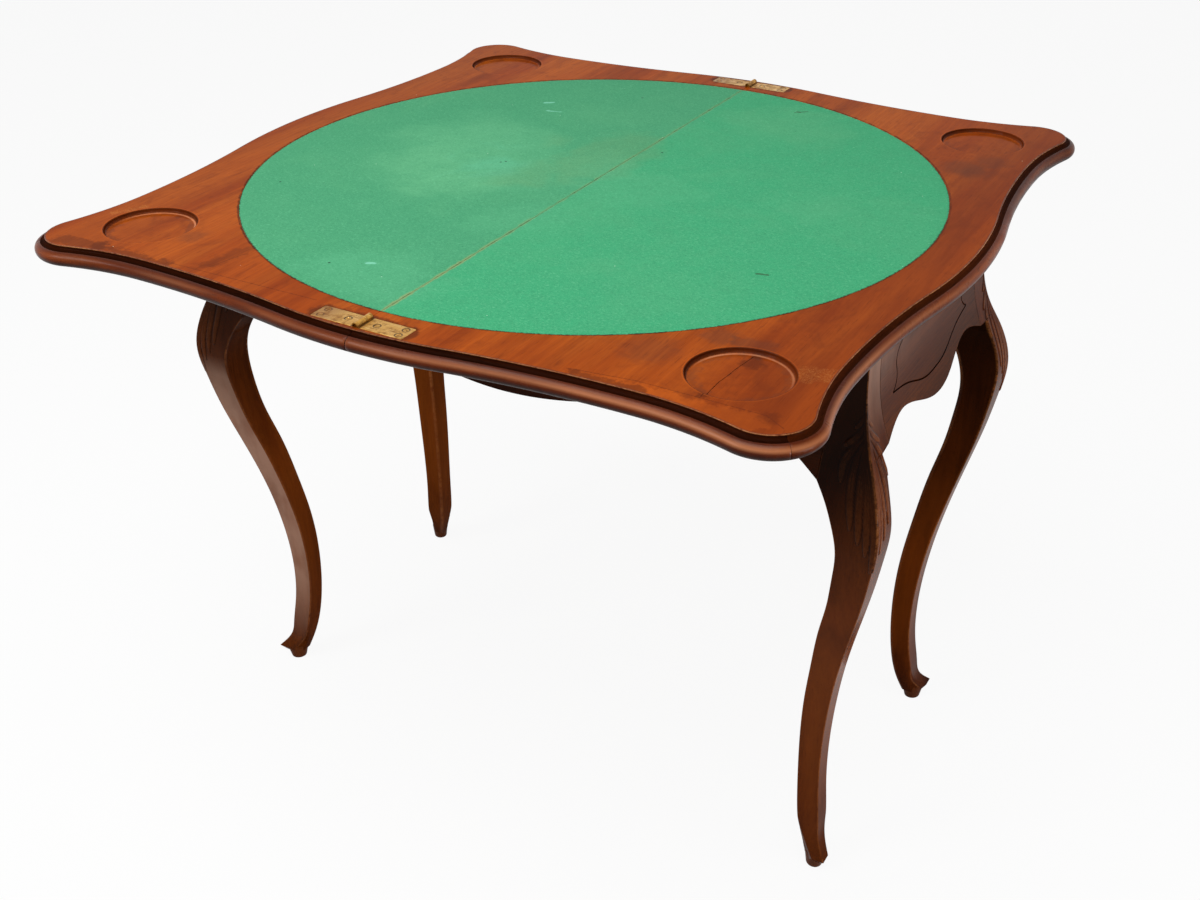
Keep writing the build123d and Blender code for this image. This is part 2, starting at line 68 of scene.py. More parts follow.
def make_camera():
    azimuth, elevation, roll = map(math.radians, (CAMERA_AZIMUTH, CAMERA_ELEVATION, CAMERA_ROLL))
    back = Vector((math.sin(azimuth), -math.cos(azimuth), 0)) * math.cos(elevation)
    back.z = math.sin(elevation)
    right = (-back).cross(Vector((0, 0, 1))).normalized()
    up = right.cross(-back)
    side = right * math.cos(roll) + up * math.sin(roll)
    top = up * math.cos(roll) - right * math.sin(roll)
    camera = bpy.data.objects.new("camera", bpy.data.cameras.new("camera"))
    camera.matrix_world = Matrix((side, top, back)).transposed().to_4x4()
    camera.location = CAMERA_PLACE
    camera.data.sensor_width = SENSOR
    camera.data.lens = LENS
    camera.data.shift_x = SHIFT
    bpy.context.collection.objects.link(camera)
    bpy.context.scene.camera = camera
    bpy.context.scene.view_settings.view_transform = "Standard"


class Nodes:
    """The node tree of a material or a world, built by short calls that return sockets."""

    def __init__(self, owner):
        owner.use_nodes = True
        self.owner, self.tree = owner, owner.node_tree
        self.tree.nodes.clear()

    def add(self, kind, values=(), **settings):
        node = self.tree.nodes.new("ShaderNode" + kind)
        for key, value in settings.items():
            setattr(node, key, value)
        for key, value in dict(values).items():
            if isinstance(value, bpy.types.NodeSocket):
                self.tree.links.new(value, node.inputs[key])
            else:
                node.inputs[key].default_value = value
        return node

    def point(self):
        return self.add("TexCoord").outputs["Object"]

    def stretch(self, vector, scale, place=(0, 0, 0)):
        values = {"Vector": vector, "Scale": scale, "Location": place}
        return self.add("Mapping", values).outputs[0]

    def grain(self, point, along, share):
        """Texture place drawn out along the grain's axis."""
        scale = [1.0, 1.0, 1.0]
        scale[along] = share
        return self.stretch(point, scale)

    def noise(self, vector, scale, detail=3.0, rough=0.5, twist=0.0):
        values = {"Vector": vector, "Scale": scale, "Detail": detail}
        values |= {"Roughness": rough, "Distortion": twist}
        return self.add("TexNoise", values).outputs["Fac"]

    def ramp(self, value, low, high, to_low=0.0, to_high=1.0, smooth=True):
        values = {0: value, 1: low, 2: high, 3: to_low, 4: to_high}
        kind = "SMOOTHSTEP" if smooth else "LINEAR"
        return self.add("MapRange", values, interpolation_type=kind).outputs[0]

    def math(self, kind, a, b=0.0, c=0.0):
        return self.add("Math", {0: a, 1: b, 2: c}, operation=kind).outputs[0]

    def plus(self, a, b):
        return self.math("ADD", a, b)

    def minus(self, a, b):
        return self.math("SUBTRACT", a, b)

    def times(self, a, b):
        return self.math("MULTIPLY", a, b)

    def off(self, value, level):
        """How far a value is from a level."""
        return self.math("ABSOLUTE", self.minus(value, level))

    def mix(self, factor, a, b):
        values = {"Factor": factor, 6: linear(a), 7: linear(b)}
        return self.add("Mix", values, data_type="RGBA").outputs[2]

    def lay(self, factor, tone):
        """Mix a tone into the shade so far."""
        self.shade = self.mix(factor, self.shade, tone)

    def tint(self, tone, value, low, high, at_low, at_high):
        """Lay a tone by one share at a low value and another at a high one."""
        self.lay(self.ramp(value, low, high, at_low, at_high), tone)

    def split(self, vector):
        return self.add("SeparateXYZ", {0: vector}).outputs

    def vector(self, kind, a, b=(0, 0, 0)):
        node = self.add("VectorMath", {0: a, 1: b}, operation=kind)
        return node.outputs["Value" if kind in ("LENGTH", "DISTANCE", "DOT_PRODUCT") else "Vector"]

    def plan(self, point):
        """Place seen from above, in millimetres."""
        return self.vector("MULTIPLY", point, (1 / MM, 1 / MM, 0))

    def gap(self, plan, start, end=None):
        """Distance in millimetres from a place, or from a line between two places."""
        if end is None:
            return self.vector("DISTANCE", plan, (*start, 0))
        run = (end[0] - start[0], end[1] - start[1])
        length = run[0] ** 2 + run[1] ** 2
        here = self.vector("SUBTRACT", plan, (*start, 0))
        share = self.vector("DOT_PRODUCT", here, (run[0] / length, run[1] / length, 0))
        share = self.ramp(share, 0, 1, smooth=False)
        reach = self.add("CombineXYZ", {0: share, 1: share}).outputs[0]
        reach = self.vector("MULTIPLY", reach, (*run, 0))
        return self.vector("DISTANCE", here, reach)

    def specks(self, point, size, radius, share):
        """Scattered dots on a share of the cells of a given size, in metres."""
        values = {"Vector": point, "Scale": 1 / size, "Randomness": 1.0}
        cells = self.add("TexVoronoi", values).outputs
        dots = self.ramp(cells["Distance"], radius / size, 0.6 * radius / size)
        chosen = self.ramp(self.split(cells["Color"])[0], 1 - share, 1 - share + 0.01)
        return self.times(dots, chosen)

    def seen(self):
        """1 for rays of the camera and for what mirrors and glass show, otherwise 0."""
        rays = self.add("LightPath").outputs
        seen = self.math("MAXIMUM", rays["Is Camera Ray"], rays["Is Glossy Ray"])
        return self.math("MAXIMUM", seen, rays["Is Transmission Ray"])

    def attribute(self, name):
        return self.add("Attribute", attribute_name=name).outputs["Fac"]

    def bump(self, height, strength, distance, normal=None):
        values = {"Height": height, "Strength": strength, "Distance": distance}
        if normal is not None:
            values["Normal"] = normal
        return self.add("Bump", values).outputs[0]

    def finish(self, **values):
        names = {key.replace("_", " "): value for key, value in values.items()}
        shader = self.add("BsdfPrincipled", names).outputs[0]
        self.add("OutputMaterial", {0: shader})
        return self.owner


def linear(tone):
    """A tuple of three, sRGB from 0 to 255, as a linear colour. Other shades stay."""
    if not isinstance(tone, tuple) or len(tone) != 3:
        return tone
    shares = [c / 255 for c in tone]
    return [c / 12.92 if c < 0.04045 else ((c + 0.055) / 1.055) ** 2.4 for c in shares] + [1]


def darker(tone, share):
    return [c * share for c in linear(tone)[:3]] + [1]


def make_floor():
    """Pale floor. To the camera and to reflections it glows a little, so its shadow is light."""
    nodes = Nodes(bpy.data.materials.new("pale_floor"))
    spots = nodes.noise(nodes.point(), 3.0)
    shade = nodes.mix(spots, (0.84, 0.85, 0.84, 1), (0.89, 0.895, 0.89, 1))
    matt = nodes.add("BsdfDiffuse", {"Color": shade}).outputs[0]
    glow = nodes.add("Emission", {"Color": (1, 1, 1, 1), "Strength": 1.0}).outputs[0]
    values = {0: nodes.times(nodes.seen(), FLOOR_GLOW), 1: matt, 2: glow}
    mixed = nodes.add("MixShader", values).outputs[0]
    nodes.add("OutputMaterial", {0: mixed})
    bpy.ops.mesh.primitive_plane_add(size=FLOOR_SIZE)
    floor = bpy.context.object
    floor.name = "floor"
    floor.data.materials.append(nodes.owner)


def make_world():
    """White to the camera and to reflections, and a faint light on the table."""
    nodes = Nodes(bpy.data.worlds.new("studio"))
    strength = nodes.ramp(nodes.seen(), 0.0, 1.0, AMBIENT, 1.0, smooth=False)
    values = {"Color": (1, 1, 1, 1), "Strength": strength}
    sky = nodes.add("Background", values).outputs[0]
    nodes.add("OutputWorld", {0: sky})
    bpy.context.scene.world = nodes.owner


def add_lamp(name, place, aim, size, power):
    data = bpy.data.lights.new(name, "AREA")
    data.shape = "RECTANGLE"
    data.size, data.size_y = size
    data.energy = power
    lamp = bpy.data.objects.new(name, data)
    lamp.location = place
    lamp.rotation_euler = (Vector(place) - Vector(aim)).to_track_quat("Z", "Y").to_euler()
    bpy.context.collection.objects.link(lamp)


make_camera()
make_floor()
make_world()
for name, settings in LAMPS.items():
    add_lamp(name, *settings)

# Materials


def wood(name, along, tones, gloss=0.26, shine=0.0, coat=0.35, figure=1.0, marks=None, ripple=0.20):
    """Polished wood with its grain along an axis, in dark, middle, light and worn tones.

    The mesh's wear and dirt show where it has such values. The same values also carry painted
    highlights and painted shade.
    """
    dark, middle, light, worn_tone = tones
    nodes = Nodes(bpy.data.materials.new(name))
    point = nodes.point()
    grain = nodes.grain(point, along, 0.075)
    sway = nodes.times(nodes.noise(grain, 7.0, 2.0), 0.05)
    bend = nodes.vector("ADD", grain, sway)
    bands = nodes.noise(bend, 42.0, 5.0, 0.62, 0.5)
    broad = nodes.noise(bend, 11.0, 3.0, 0.5, 0.8)
    fibres = nodes.noise(nodes.grain(point, along, 0.03), 420.0, 4.0, 0.7)
    pores = nodes.ramp(nodes.noise(nodes.grain(point, along, 0.045), 900.0, 1.0), 0.64, 0.72)
    clouds = nodes.noise(point, 6.5, 3.0, 0.6)
    nodes.shade = dark
    nodes.tint(middle, bands, 0.30, 0.70, 0.0, 1.0)
    nodes.tint(light, broad, 0.38, 0.72, 0.0, 0.75 * figure)
    nodes.tint(dark, fibres, 0.35, 0.65, 0.0, 0.35)
    nodes.lay(nodes.times(pores, 0.45), darker(dark, 0.3))
    nodes.tint(middle, clouds, 0.35, 0.70, 0.0, 0.35)
    if marks:
        marks(nodes, point)
    crumbs = nodes.noise(point, 160.0, 4.0, 0.7)
    # Paler where worn, and where the same values carry a painted highlight
    worn_and_lit = nodes.times(nodes.attribute("wear_and_highlight"), nodes.ramp(crumbs, 0.30, 0.60))
    nodes.lay(worn_and_lit, worn_tone)
    # Darker where dirty, and where the same values carry painted shade
    grime_and_shade = nodes.times(nodes.attribute("dirt_and_shade"), nodes.ramp(crumbs, 0.25, 0.55, 0.7, 1.0))
    nodes.lay(grime_and_shade, darker(dark, 0.10))
    smear = nodes.noise(point, 28.0, 4.0, 0.6, 0.4)
    rough = nodes.ramp(smear, 0.3, 0.7, gloss - 0.07, gloss + 0.09)
    rough = nodes.math("MAXIMUM", rough, nodes.times(grime_and_shade, 0.55))
    height = nodes.math("MULTIPLY_ADD", pores, -0.5, nodes.times(fibres, 0.5))
    normal = nodes.bump(height, 0.16, 0.0004)
    normal = nodes.bump(nodes.noise(point, 20.0, 2.0), ripple, 0.0016, normal)
    return nodes.finish(
        Base_Color=nodes.shade,
        Roughness=rough,
        Normal=normal,
        Specular_IOR_Level=shine,
        Coat_Weight=coat,
        Coat_Roughness=0.12,
        Coat_IOR=1.2,
    )


# Tones are colours in sRGB, 0 to 255. Marks on the top are seen from above. Each has a spot or
# the ends of a line. A stain then has the reach of its full tone, the width in which it fades,
# its tone and its strength. A rubbed place has its reach.
BROWN, GREY, ORANGE = (70, 26, 8), (84, 48, 34), (204, 96, 24)
STAINS = (
    (((238, -430), (396, -426)), 12, 4, ORANGE, 0.32),
    (((-406, -428), (-359, -423)), 7, 7, BROWN, 0.50),
    (((-359, -423), (-262, -424)), 3, 7, BROWN, 0.50),
    (((225, -424), (290, -425)), 3, 7, BROWN, 0.55),
    (((305, -297),), 10, 14, GREY, 0.40),
    (((330, -299), (350, -297)), 6, 12, GREY, 0.45),
    (((262, -352),), 16, 22, GREY, 0.30),
    (((352, -322),), 6, 10, BROWN, 0.60),
    (((341, -402),), 3, 9, BROWN, 0.60),
    (((362, 247),), 14, 22, GREY, 0.45),
    (((388, 284),), 10, 18, GREY, 0.40),
    (((379, 238),), 8, 24, GREY, 0.35),
    (((-214, -352), (-222, -400)), 3, 10, BROWN, 0.35),
    (((-290, -355),), 8, 16, GREY, 0.30),
    (((408, -413),), 4, 8, BROWN, 0.45),
)
SCRATCHES = (
    ((-258, -419), (-70, -416)),
    ((-217, -406), (-208, -364)),
    ((215, -419), (280, -410)),
    ((280, -410), (404, -411)),
    ((404, -411), (425, -424)),
)
RUBBED = ((((404, -327), (419, -322)), 14), (((-414, -348), (-399, -317)), 5))
# A shrinkage crack across the near right dish
CRACK = (
    (341.4, -407.9),
    (340.2, -394.0),
    (339.7, -368.7),
    (341.6, -353.4),
    (342.1, -340.7),
    (346, -311),
)
# Height in metres, just under the dishes' floors, above which the top shows its marks
MARKED = 0.733


def worn_surface(nodes, point, plan, ragged, fine):
    """Mottled polish, stains, scratches and rubbed corners."""
    mottle = nodes.noise(nodes.stretch(point, (1.0, 0.5, 1.0)), 34.0, 5.0, 0.65, 0.8)
    nodes.tint((104, 40, 10), mottle, 0.48, 0.72, 0.0, 0.42)
    for places, reach, soft, tone, strength in STAINS:
        gap = nodes.plus(nodes.gap(plan, *places), ragged)
        nodes.tint(tone, gap, reach, reach + soft, strength, 0.0)
    for places in SCRATCHES:
        gap = nodes.plus(nodes.gap(plan, *places), fine)
        nodes.tint(BROWN, gap, 0.0, 0.9, 0.55, 0.0)
    for places, reach in RUBBED:
        scratch = nodes.noise(nodes.stretch(point, (240, 620, 240)), 1.0, 6.0, 0.8, 2.5)
        gap = nodes.plus(nodes.gap(plan, *places), ragged)
        area = nodes.ramp(gap, reach - 4, reach + 2, 1.0, 0.0)
        rubbed = nodes.times(area, nodes.ramp(scratch, 0.50, 0.56))
        nodes.lay(nodes.times(rubbed, 0.55), (216, 142, 70))


def dish_marks(nodes, plan, ragged, fine):
    """Painted shade on rims, pale lips, grey floors, and a painted highlight on the near dishes' far
    coves.
    """
    centre = nodes.vector("DISTANCE", nodes.vector("ABSOLUTE", plan), (DISH, DISH, 0))
    # Painted shade on the upper wall of each dish's cove
    rim = nodes.plus(nodes.off(centre, 49.0), fine)
    nodes.tint((48, 16, 4), rim, 1.0, 2.2, 0.80, 0.0)
    lip = nodes.plus(nodes.off(centre, 51.2), fine)
    nodes.tint(ORANGE, lip, 0.2, 1.2, 0.30, 0.0)
    floor = nodes.plus(nodes.off(centre, 43.0), ragged)
    nodes.tint(GREY, floor, 0.0, 6.0, 0.35, 0.0)
    # Painted highlight on the far cove wall of the near dishes
    across = nodes.split(plan)[1]
    lit = nodes.times(nodes.ramp(across, -362, -325), nodes.ramp(across, -300, -200, 0.42, 0.0))
    lit = nodes.times(lit, nodes.ramp(nodes.off(centre, 46.2), 0.2, 1.6, 1.0, 0.0))
    nodes.lay(lit, (226, 158, 116))


def top_marks(nodes, point):
    """Wear of the top's surface, with painted shade and highlights. Its underside and edges stay
    plain.
    """
    plain, plan = nodes.shade, nodes.plan(point)
    ragged = nodes.ramp(nodes.noise(point, 90.0, 5.0, 0.7), 0.25, 0.75, -6.0, 6.0)
    fine = nodes.ramp(nodes.noise(point, 500.0, 3.0, 0.7), 0.25, 0.75, -0.5, 0.5)
    worn_surface(nodes, point, plan, ragged, fine)
    dish_marks(nodes, plan, ragged, fine)
    edge = nodes.off(nodes.vector("LENGTH", plan), BAIZE + 1.2)
    edge = nodes.plus(edge, nodes.times(ragged, 0.14))
    nodes.tint((34, 18, 8), edge, -0.2, 1.5, 0.75, 0.0)
    for start, end in zip(CRACK[:-1], CRACK[1:]):
        gap = nodes.plus(nodes.gap(plan, start, end), fine)
        nodes.tint((26, 10, 4), gap, -0.1, 0.7, 0.80, 0.0)
    # Painted shade towards the left and right ends of the top, stronger to the right
    ends_shade = nodes.plus(nodes.split(plan)[0], nodes.times(ragged, 6.0))
    nodes.tint((112, 44, 12), ends_shade, 290, 400, 0.0, 0.42)
    nodes.tint((112, 44, 12), ends_shade, -400, -290, 0.28, 0.0)
    hinge = nodes.gap(nodes.vector("ABSOLUTE", plan), (0, HINGE), (46, HINGE))
    hinge = nodes.plus(hinge, nodes.times(ragged, 0.6))
    nodes.tint(BROWN, hinge, 12.0, 19.0, 0.70, 0.0)
    nodes.lay(nodes.specks(point, 0.019, 0.0007, 0.12), (236, 218, 180))
    above = nodes.ramp(nodes.split(point)[2], MARKED, MARKED + 0.0005)
    nodes.shade = nodes.mix(above, plain, nodes.shade)


def edge_highlight(nodes, point):
    """A painted highlight: the moulding's belly is a little paler."""
    nodes.lay(nodes.attribute("belly_highlight"), (214, 140, 96))


def frame_painted_light(nodes, point):
    """Painted shade under the top, and a painted pale sheen on the faces that stand in the light."""
    cloudy = nodes.noise(nodes.stretch(point, (1, 1, 0.4)), 40.0, 4.0)
    painted_sheen = nodes.times(nodes.attribute("painted_sheen"), nodes.ramp(cloudy, 0.25, 0.65, 0.55, 1.0))
    nodes.lay(painted_sheen, (190, 150, 128))
    nodes.lay(nodes.attribute("shade"), (18, 6, 1))


def leg_marks(nodes, point):
    """The legs are a lighter, more orange brown between the knee and the ankle."""
    cloudy = nodes.ramp(nodes.noise(point, 12.0, 3.0), 0.25, 0.75, -0.04, 0.04)
    middle = nodes.plus(nodes.off(nodes.split(point)[2], 0.26), cloudy)
    nodes.tint((150, 74, 18), middle, 0.08, 0.22, 0.24, 0.0)
    frame_painted_light(nodes, point)


TOP_TONES = (124, 46, 6), (164, 72, 14), (190, 98, 28), (206, 128, 62)
EDGE_TONES = (62, 18, 3), (108, 42, 8), (146, 66, 18), (214, 146, 92)
# Painted shade: the coves get darker tones than the edges, the sides' coves darker than the ends',
# which stand in the light
END_COVE_SHADE_TONES = (42, 14, 3), (72, 28, 7), (100, 46, 15), (128, 72, 38)
SIDE_COVE_SHADE_TONES = (26, 8, 2), (46, 16, 5), (72, 28, 10), (110, 60, 32)
FRAME_TONES = (58, 20, 3), (98, 42, 9), (130, 64, 18), (164, 98, 50)
GROOVE_TONES = [darker(tone, 0.22) for tone in FRAME_TONES]
BARE_TONES = (122, 86, 52), (158, 118, 78), (182, 146, 104), (190, 160, 120)

top_wood = wood("top_wood", 1, TOP_TONES, 0.34, coat=0.24, marks=top_marks, ripple=0.12)
edge_x = wood("edge_wood_x", 0, EDGE_TONES, 0.24, 0.08, 0.12, marks=edge_highlight, ripple=0.05)
edge_y = wood("edge_wood_y", 1, EDGE_TONES, 0.30, 0.05, 0.06, marks=edge_highlight, ripple=0.05)
# Coves in painted shade
cove_shade_x = wood("cove_shade_wood_x", 0, SIDE_COVE_SHADE_TONES, 0.42, coat=0.04)
cove_shade_y = wood("cove_shade_wood_y", 1, END_COVE_SHADE_TONES, 0.42, coat=0.04)
leg_wood = wood("leg_wood", 2, FRAME_TONES, marks=leg_marks)
leg_back = wood("leg_back_wood", 2, FRAME_TONES, 0.36, coat=0.08, marks=leg_marks)
apron_x = wood("apron_wood_x", 0, FRAME_TONES, marks=frame_painted_light)
apron_y = wood("apron_wood_y", 1, FRAME_TONES, marks=frame_painted_light)
groove_wood = wood("groove_wood", 1, GROOVE_TONES, 0.6, coat=0.0)
bare_x = wood("bare_wood_x", 0, BARE_TONES, 0.62, coat=0.0, figure=0.7)
bare_y = wood("bare_wood_y", 1, BARE_TONES, 0.62, coat=0.0, figure=0.7)

# Marks on the baize, with spots, lines, reaches and fades as for the top
FADED = (
    (((-190, 10), (-120, -10)), 20, 130, (100, 180, 130), 0.60),
    (((-240, -70), (-130, -95)), 10, 80, (98, 176, 126), 0.50),
    (((-80, -330),), 20, 60, (84, 170, 124), 0.50),
    (((-69, -26), (-33, 146)), 12, 50, (92, 146, 98), 0.50),
    (((107, 274),), 20, 70, (90, 168, 118), 0.45),
    (((271, 44),), 20, 60, (86, 170, 122), 0.40),
    (((60, 0), (10, -140)), 10, 70, (82, 170, 122), 0.40),
    (((-130, -1),), 12, 40, (92, 188, 150), 0.35),
)
CHALK = (((-82, -321), (-76, -318)), ((-207, 224), (-198, 231)), ((-186, 196), (-168, 200)))
HOLES = ((-130, -1), (-318, -182), (-117, -339), (-103, 306), (24, 123), (-126, 4))
NICKS = (((104, 346), (116, 358)), ((104, 352), (110, 350)), ((277, -152), (287, -150)))


def cloth_wear(nodes, point, plan):
    """Wool worn at the fold, with a few marks, a frayed edge and lint."""
    loose = nodes.ramp(nodes.noise(point, 60.0, 5.0, 0.7), 0.3, 0.7, -1.4, 1.4)
    crease = nodes.plus(nodes.math("ABSOLUTE", nodes.split(plan)[0]), loose)
    rubbed = nodes.ramp(nodes.split(plan)[1], -330.0, -90.0, 0.80, 0.32)
    pale = nodes.times(nodes.ramp(crease, 0.6, 3.6, 1.0, 0.0), rubbed)
    nodes.lay(pale, (140, 158, 104))
    nodes.tint((62, 84, 50), crease, -0.5, 0.6, 0.50, 0.0)
    for places in CHALK:
        gap = nodes.plus(nodes.gap(plan, *places), loose)
        nodes.tint((140, 220, 190), gap, 0.5, 3.5, 0.60, 0.0)
    for place in HOLES:
        nodes.tint((14, 40, 30), nodes.gap(plan, place), 0.8, 2.0, 0.85, 0.0)
    for places in NICKS:
        gap = nodes.plus(nodes.gap(plan, *places), loose)
        nodes.tint((52, 70, 44), gap, 0.2, 1.6, 0.70, 0.0)
    frayed = nodes.ramp(nodes.noise(point, 300.0, 3.0, 0.7), 0.3, 0.7, -0.7, 0.7)
    edge = nodes.plus(nodes.minus(BAIZE, nodes.vector("LENGTH", plan)), frayed)
    nodes.tint((24, 38, 22), edge, 0.0, 1.4, 0.85, 0.0)
    nodes.lay(nodes.specks(point, 0.016, 0.0007, 0.14), (206, 236, 214))
    crumbs = nodes.specks(nodes.stretch(point, (1, 1, 1), (3, 1, 0)), 0.05, 0.0008, 0.3)
    nodes.lay(crumbs, (20, 60, 44))


def make_cloth():
    """Faded baize: brighter on the lower leaf, rubbed pale in the middle of the other."""
    nodes = Nodes(bpy.data.materials.new("baize"))
    point = nodes.point()
    plan = nodes.plan(point)
    broad = nodes.noise(point, 7.0, 4.0, 0.6, 0.4)
    waves = nodes.ramp(broad, 0.25, 0.75, -60.0, 60.0)
    fine = nodes.noise(point, 60.0, 5.0, 0.7)
    fluff = nodes.noise(point, 900.0, 3.0, 0.75)
    across = nodes.split(plan)[0]
    nodes.shade = (62, 149, 105)
    nodes.tint((50, 159, 109), across, -6.0, 10.0, 0.0, 1.0)
    for places, reach, soft, tone, strength in FADED:
        gap = nodes.plus(nodes.gap(plan, *places), waves)
        nodes.tint(tone, gap, reach, reach + soft, strength, 0.0)
    nodes.tint((90, 168, 118), broad, 0.45, 0.75, 0.0, 0.30)
    nodes.tint((56, 142, 100), fine, 0.35, 0.70, 0.0, 0.30)
    nodes.tint((100, 184, 136), fluff, 0.35, 0.75, 0.0, 0.45)
    tufts = nodes.noise(nodes.stretch(point, (330, 480, 330)), 1.0, 5.0, 0.8, 0.6)
    nodes.tint((124, 206, 158), tufts, 0.52, 0.66, 0.0, 0.42)
    nodes.tint((42, 120, 80), tufts, 0.36, 0.47, 0.42, 0.0)
    streaks = nodes.noise(nodes.stretch(point, (26, 110, 60)), 1.0, 5.0, 0.7, 1.0)
    nodes.tint((124, 204, 160), streaks, 0.64, 0.80, 0.0, 0.35)
    cloth_wear(nodes, point, plan)
    return nodes.finish(
        Base_Color=nodes.shade,
        Roughness=0.95,
        Sheen_Weight=0.08,
        Sheen_Roughness=0.5,
        Specular_IOR_Level=0.1,
        Normal=nodes.bump(fluff, 0.5, 0.0006),
    )


def metal(name, base, bright, dull, gloss, marks=None):
    """Old metal with patina, scratches and pits."""
    nodes = Nodes(bpy.data.materials.new(name))
    point = nodes.point()
    patina = nodes.noise(point, 100.0, 5.0, 0.66, 0.2)
    fine = nodes.noise(point, 700.0, 3.0, 0.6)
    scratches = nodes.ramp(nodes.noise(nodes.stretch(point, (40, 900, 300)), 1.0, 2.0), 0.60, 0.68)
    nodes.shade = dull
    nodes.tint(base, patina, 0.36, 0.58, 0.0, 1.0)
    nodes.lay(nodes.times(scratches, 0.5), bright)
    pits = nodes.specks(point, 0.0035, 0.0006, 0.35)
    nodes.lay(nodes.times(pits, 0.75), (52, 34, 14))
    if marks:
        marks(nodes, point)
    return nodes.finish(
        Base_Color=nodes.shade,
        Metallic=1.0,
        Roughness=nodes.ramp(patina, 0.35, 0.65, gloss + 0.22, gloss),
        Normal=nodes.bump(nodes.plus(patina, fine), 0.25, 0.0004),
    )


def hinge_marks(nodes, point):
    """Grime round the screws and the barrel, and browner plates on the folding leaf."""
    plan = nodes.plan(point)
    quarter = nodes.vector("ABSOLUTE", plan)
    for x, y in SCREWS:
        ring = nodes.off(nodes.gap(quarter, (x, HINGE + y)), 3.6)
        nodes.tint((30, 18, 8), ring, 0.2, 0.9, 0.90, 0.0)
    barrel = nodes.gap(quarter, (4.6, HINGE - PLATE_HALF), (4.6, HINGE + PLATE_HALF))
    nodes.tint((34, 20, 8), barrel, 0.4, 1.3, 0.80, 0.0)
    nodes.tint((122, 72, 34), nodes.split(plan)[0], -44, -16, 0.50, 0.0)


cloth = make_cloth()
BRASS = (198, 150, 72), (244, 212, 146), (138, 96, 40)
IRON = (92, 88, 84), (130, 126, 120), (52, 48, 44)
brass = metal("old_brass", *BRASS, 0.30, hinge_marks)
iron = metal("dark_iron", *IRON, 0.42)

# Meshes


def clamp(value):
    return min(1, max(0, value))


def outward(mesh, merge=None):
    """Turn the faces outward, once points closer than the merge distance are joined."""
    work = bmesh.new()
    work.from_mesh(mesh)
    if merge:
        bmesh.ops.remove_doubles(work, verts=work.verts, dist=merge)
    bmesh.ops.recalc_face_normals(work, faces=work.faces)
    work.to_mesh(mesh)
    work.free()


def make_piece(name, shape, body, materials, replaces=(), smooth=35, parts=None):
    """A mesh piece from points and faces. One that only cuts or joins has no body."""
    points, faces = shape
    mesh = bpy.data.meshes.new(name)
    mesh.from_pydata([[c * MM for c in p] for p in points], [], faces)
    for material in materials:
        mesh.materials.append(material)
    if parts is not None:
        mesh.polygons.foreach_set("material_index", parts)
    mesh.validate()
    piece = bpy.data.objects.new(name, mesh)
    bpy.context.collection.objects.link(piece)
    outward(mesh)
    mesh.shade_smooth()
    mesh.set_sharp_from_angle(angle=math.radians(smooth))
    if body:
        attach(piece, body)
    if replaces:
        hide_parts(*replaces)
    return piece


def set_attribute(piece, name, values):
    layer = piece.data.attributes.new(name, "FLOAT", "POINT")
    layer.data.foreach_set("value", np.clip(values, 0.0, 1.0))


def grid_faces(rows, columns, closed=False):
    """Faces between the points of a grid. A closed one joins its last column to its first."""
    faces = []
    for i in range(rows - 1):
        for j in range(columns if closed else columns - 1):
            a, b = i * columns + j, i * columns + (j + 1) % columns
            faces.append((a, b, b + columns, a + columns))
    return faces


def capped_tube(rings):
    """Points and faces of closed rings joined in a row, with an end face at each end."""
    count = len(rings[0])
    points = [p for ring in rings for p in ring]
    faces = grid_faces(len(rings), count, closed=True)
    last = (len(rings) - 1) * count
    faces.append(tuple(range(count))[::-1])
    faces.append(tuple(range(last, last + count)))
    return points, faces


def lathe(profile, centre, steps):
    """Solid of revolution about a vertical axis. The profile's ends lie on the axis."""
    points = []
    for r, z in profile[1:-1]:
        for k in range(steps):
            turn = 2 * math.pi * k / steps
            points.append((centre[0] + r * math.cos(turn), centre[1] + r * math.sin(turn), z))
    rows = len(profile) - 2
    faces = grid_faces(rows, steps, closed=True)
    for height, row in ((profile[0][1], 0), (profile[-1][1], rows - 1)):
        points.append((*centre, height))
        for k in range(steps):
            faces.append((row * steps + k, row * steps + (k + 1) % steps, len(points) - 1))
    return points, faces


def circle(centre, radius, steps=32):
    """Ring of points about an axis along Y."""
    (x, y, z), turns = centre, [2 * math.pi * k / steps for k in range(steps)]
    return [(x + radius * math.cos(turn), y, z + radius * math.sin(turn)) for turn in turns]


def tool(shape, materials=()):
    return make_piece("tool", shape, None, materials)


def rod_tool(middle, radius, length):
    """Round rod along Y, about a hinge's axis."""
    ends = (middle - length / 2, middle + length / 2)
    return tool(capped_tube([circle((0, y, AXIS), radius) for y in ends]))


def box_tool(centre, size, heights):
    (x, y), (a, b) = centre, (size[0] / 2, size[1] / 2)
    ring = [(x - a, y - b), (x + a, y - b), (x + a, y + b), (x - a, y + b)]
    return tool(capped_tube([[(*spot, z) for spot in ring] for z in heights]))


def combine(piece, tools, operation="DIFFERENCE"):
    """Cut the tools from the piece's mesh, or join them to it."""
    for other in tools:
        step = piece.modifiers.new("combine", "BOOLEAN")
        step.operation = operation
        step.solver = "EXACT"
        step.material_mode = "TRANSFER"
        step.object = other
    bpy.context.view_layer.update()
    graph = bpy.context.evaluated_depsgraph_get()
    mesh = bpy.data.meshes.new_from_object(piece.evaluated_get(graph))
    piece.modifiers.clear()
    piece.data = mesh
    for other in tools:
        bpy.data.objects.remove(other)


def sharpen(piece, angle):
    """Smooth shading with crisp edges and flat faces kept flat."""
    piece.data.shade_smooth()
    piece.data.set_sharp_from_angle(angle=math.radians(angle))
    piece.modifiers.new("normals", "WEIGHTED_NORMAL").keep_sharp = True


# Outline of the top


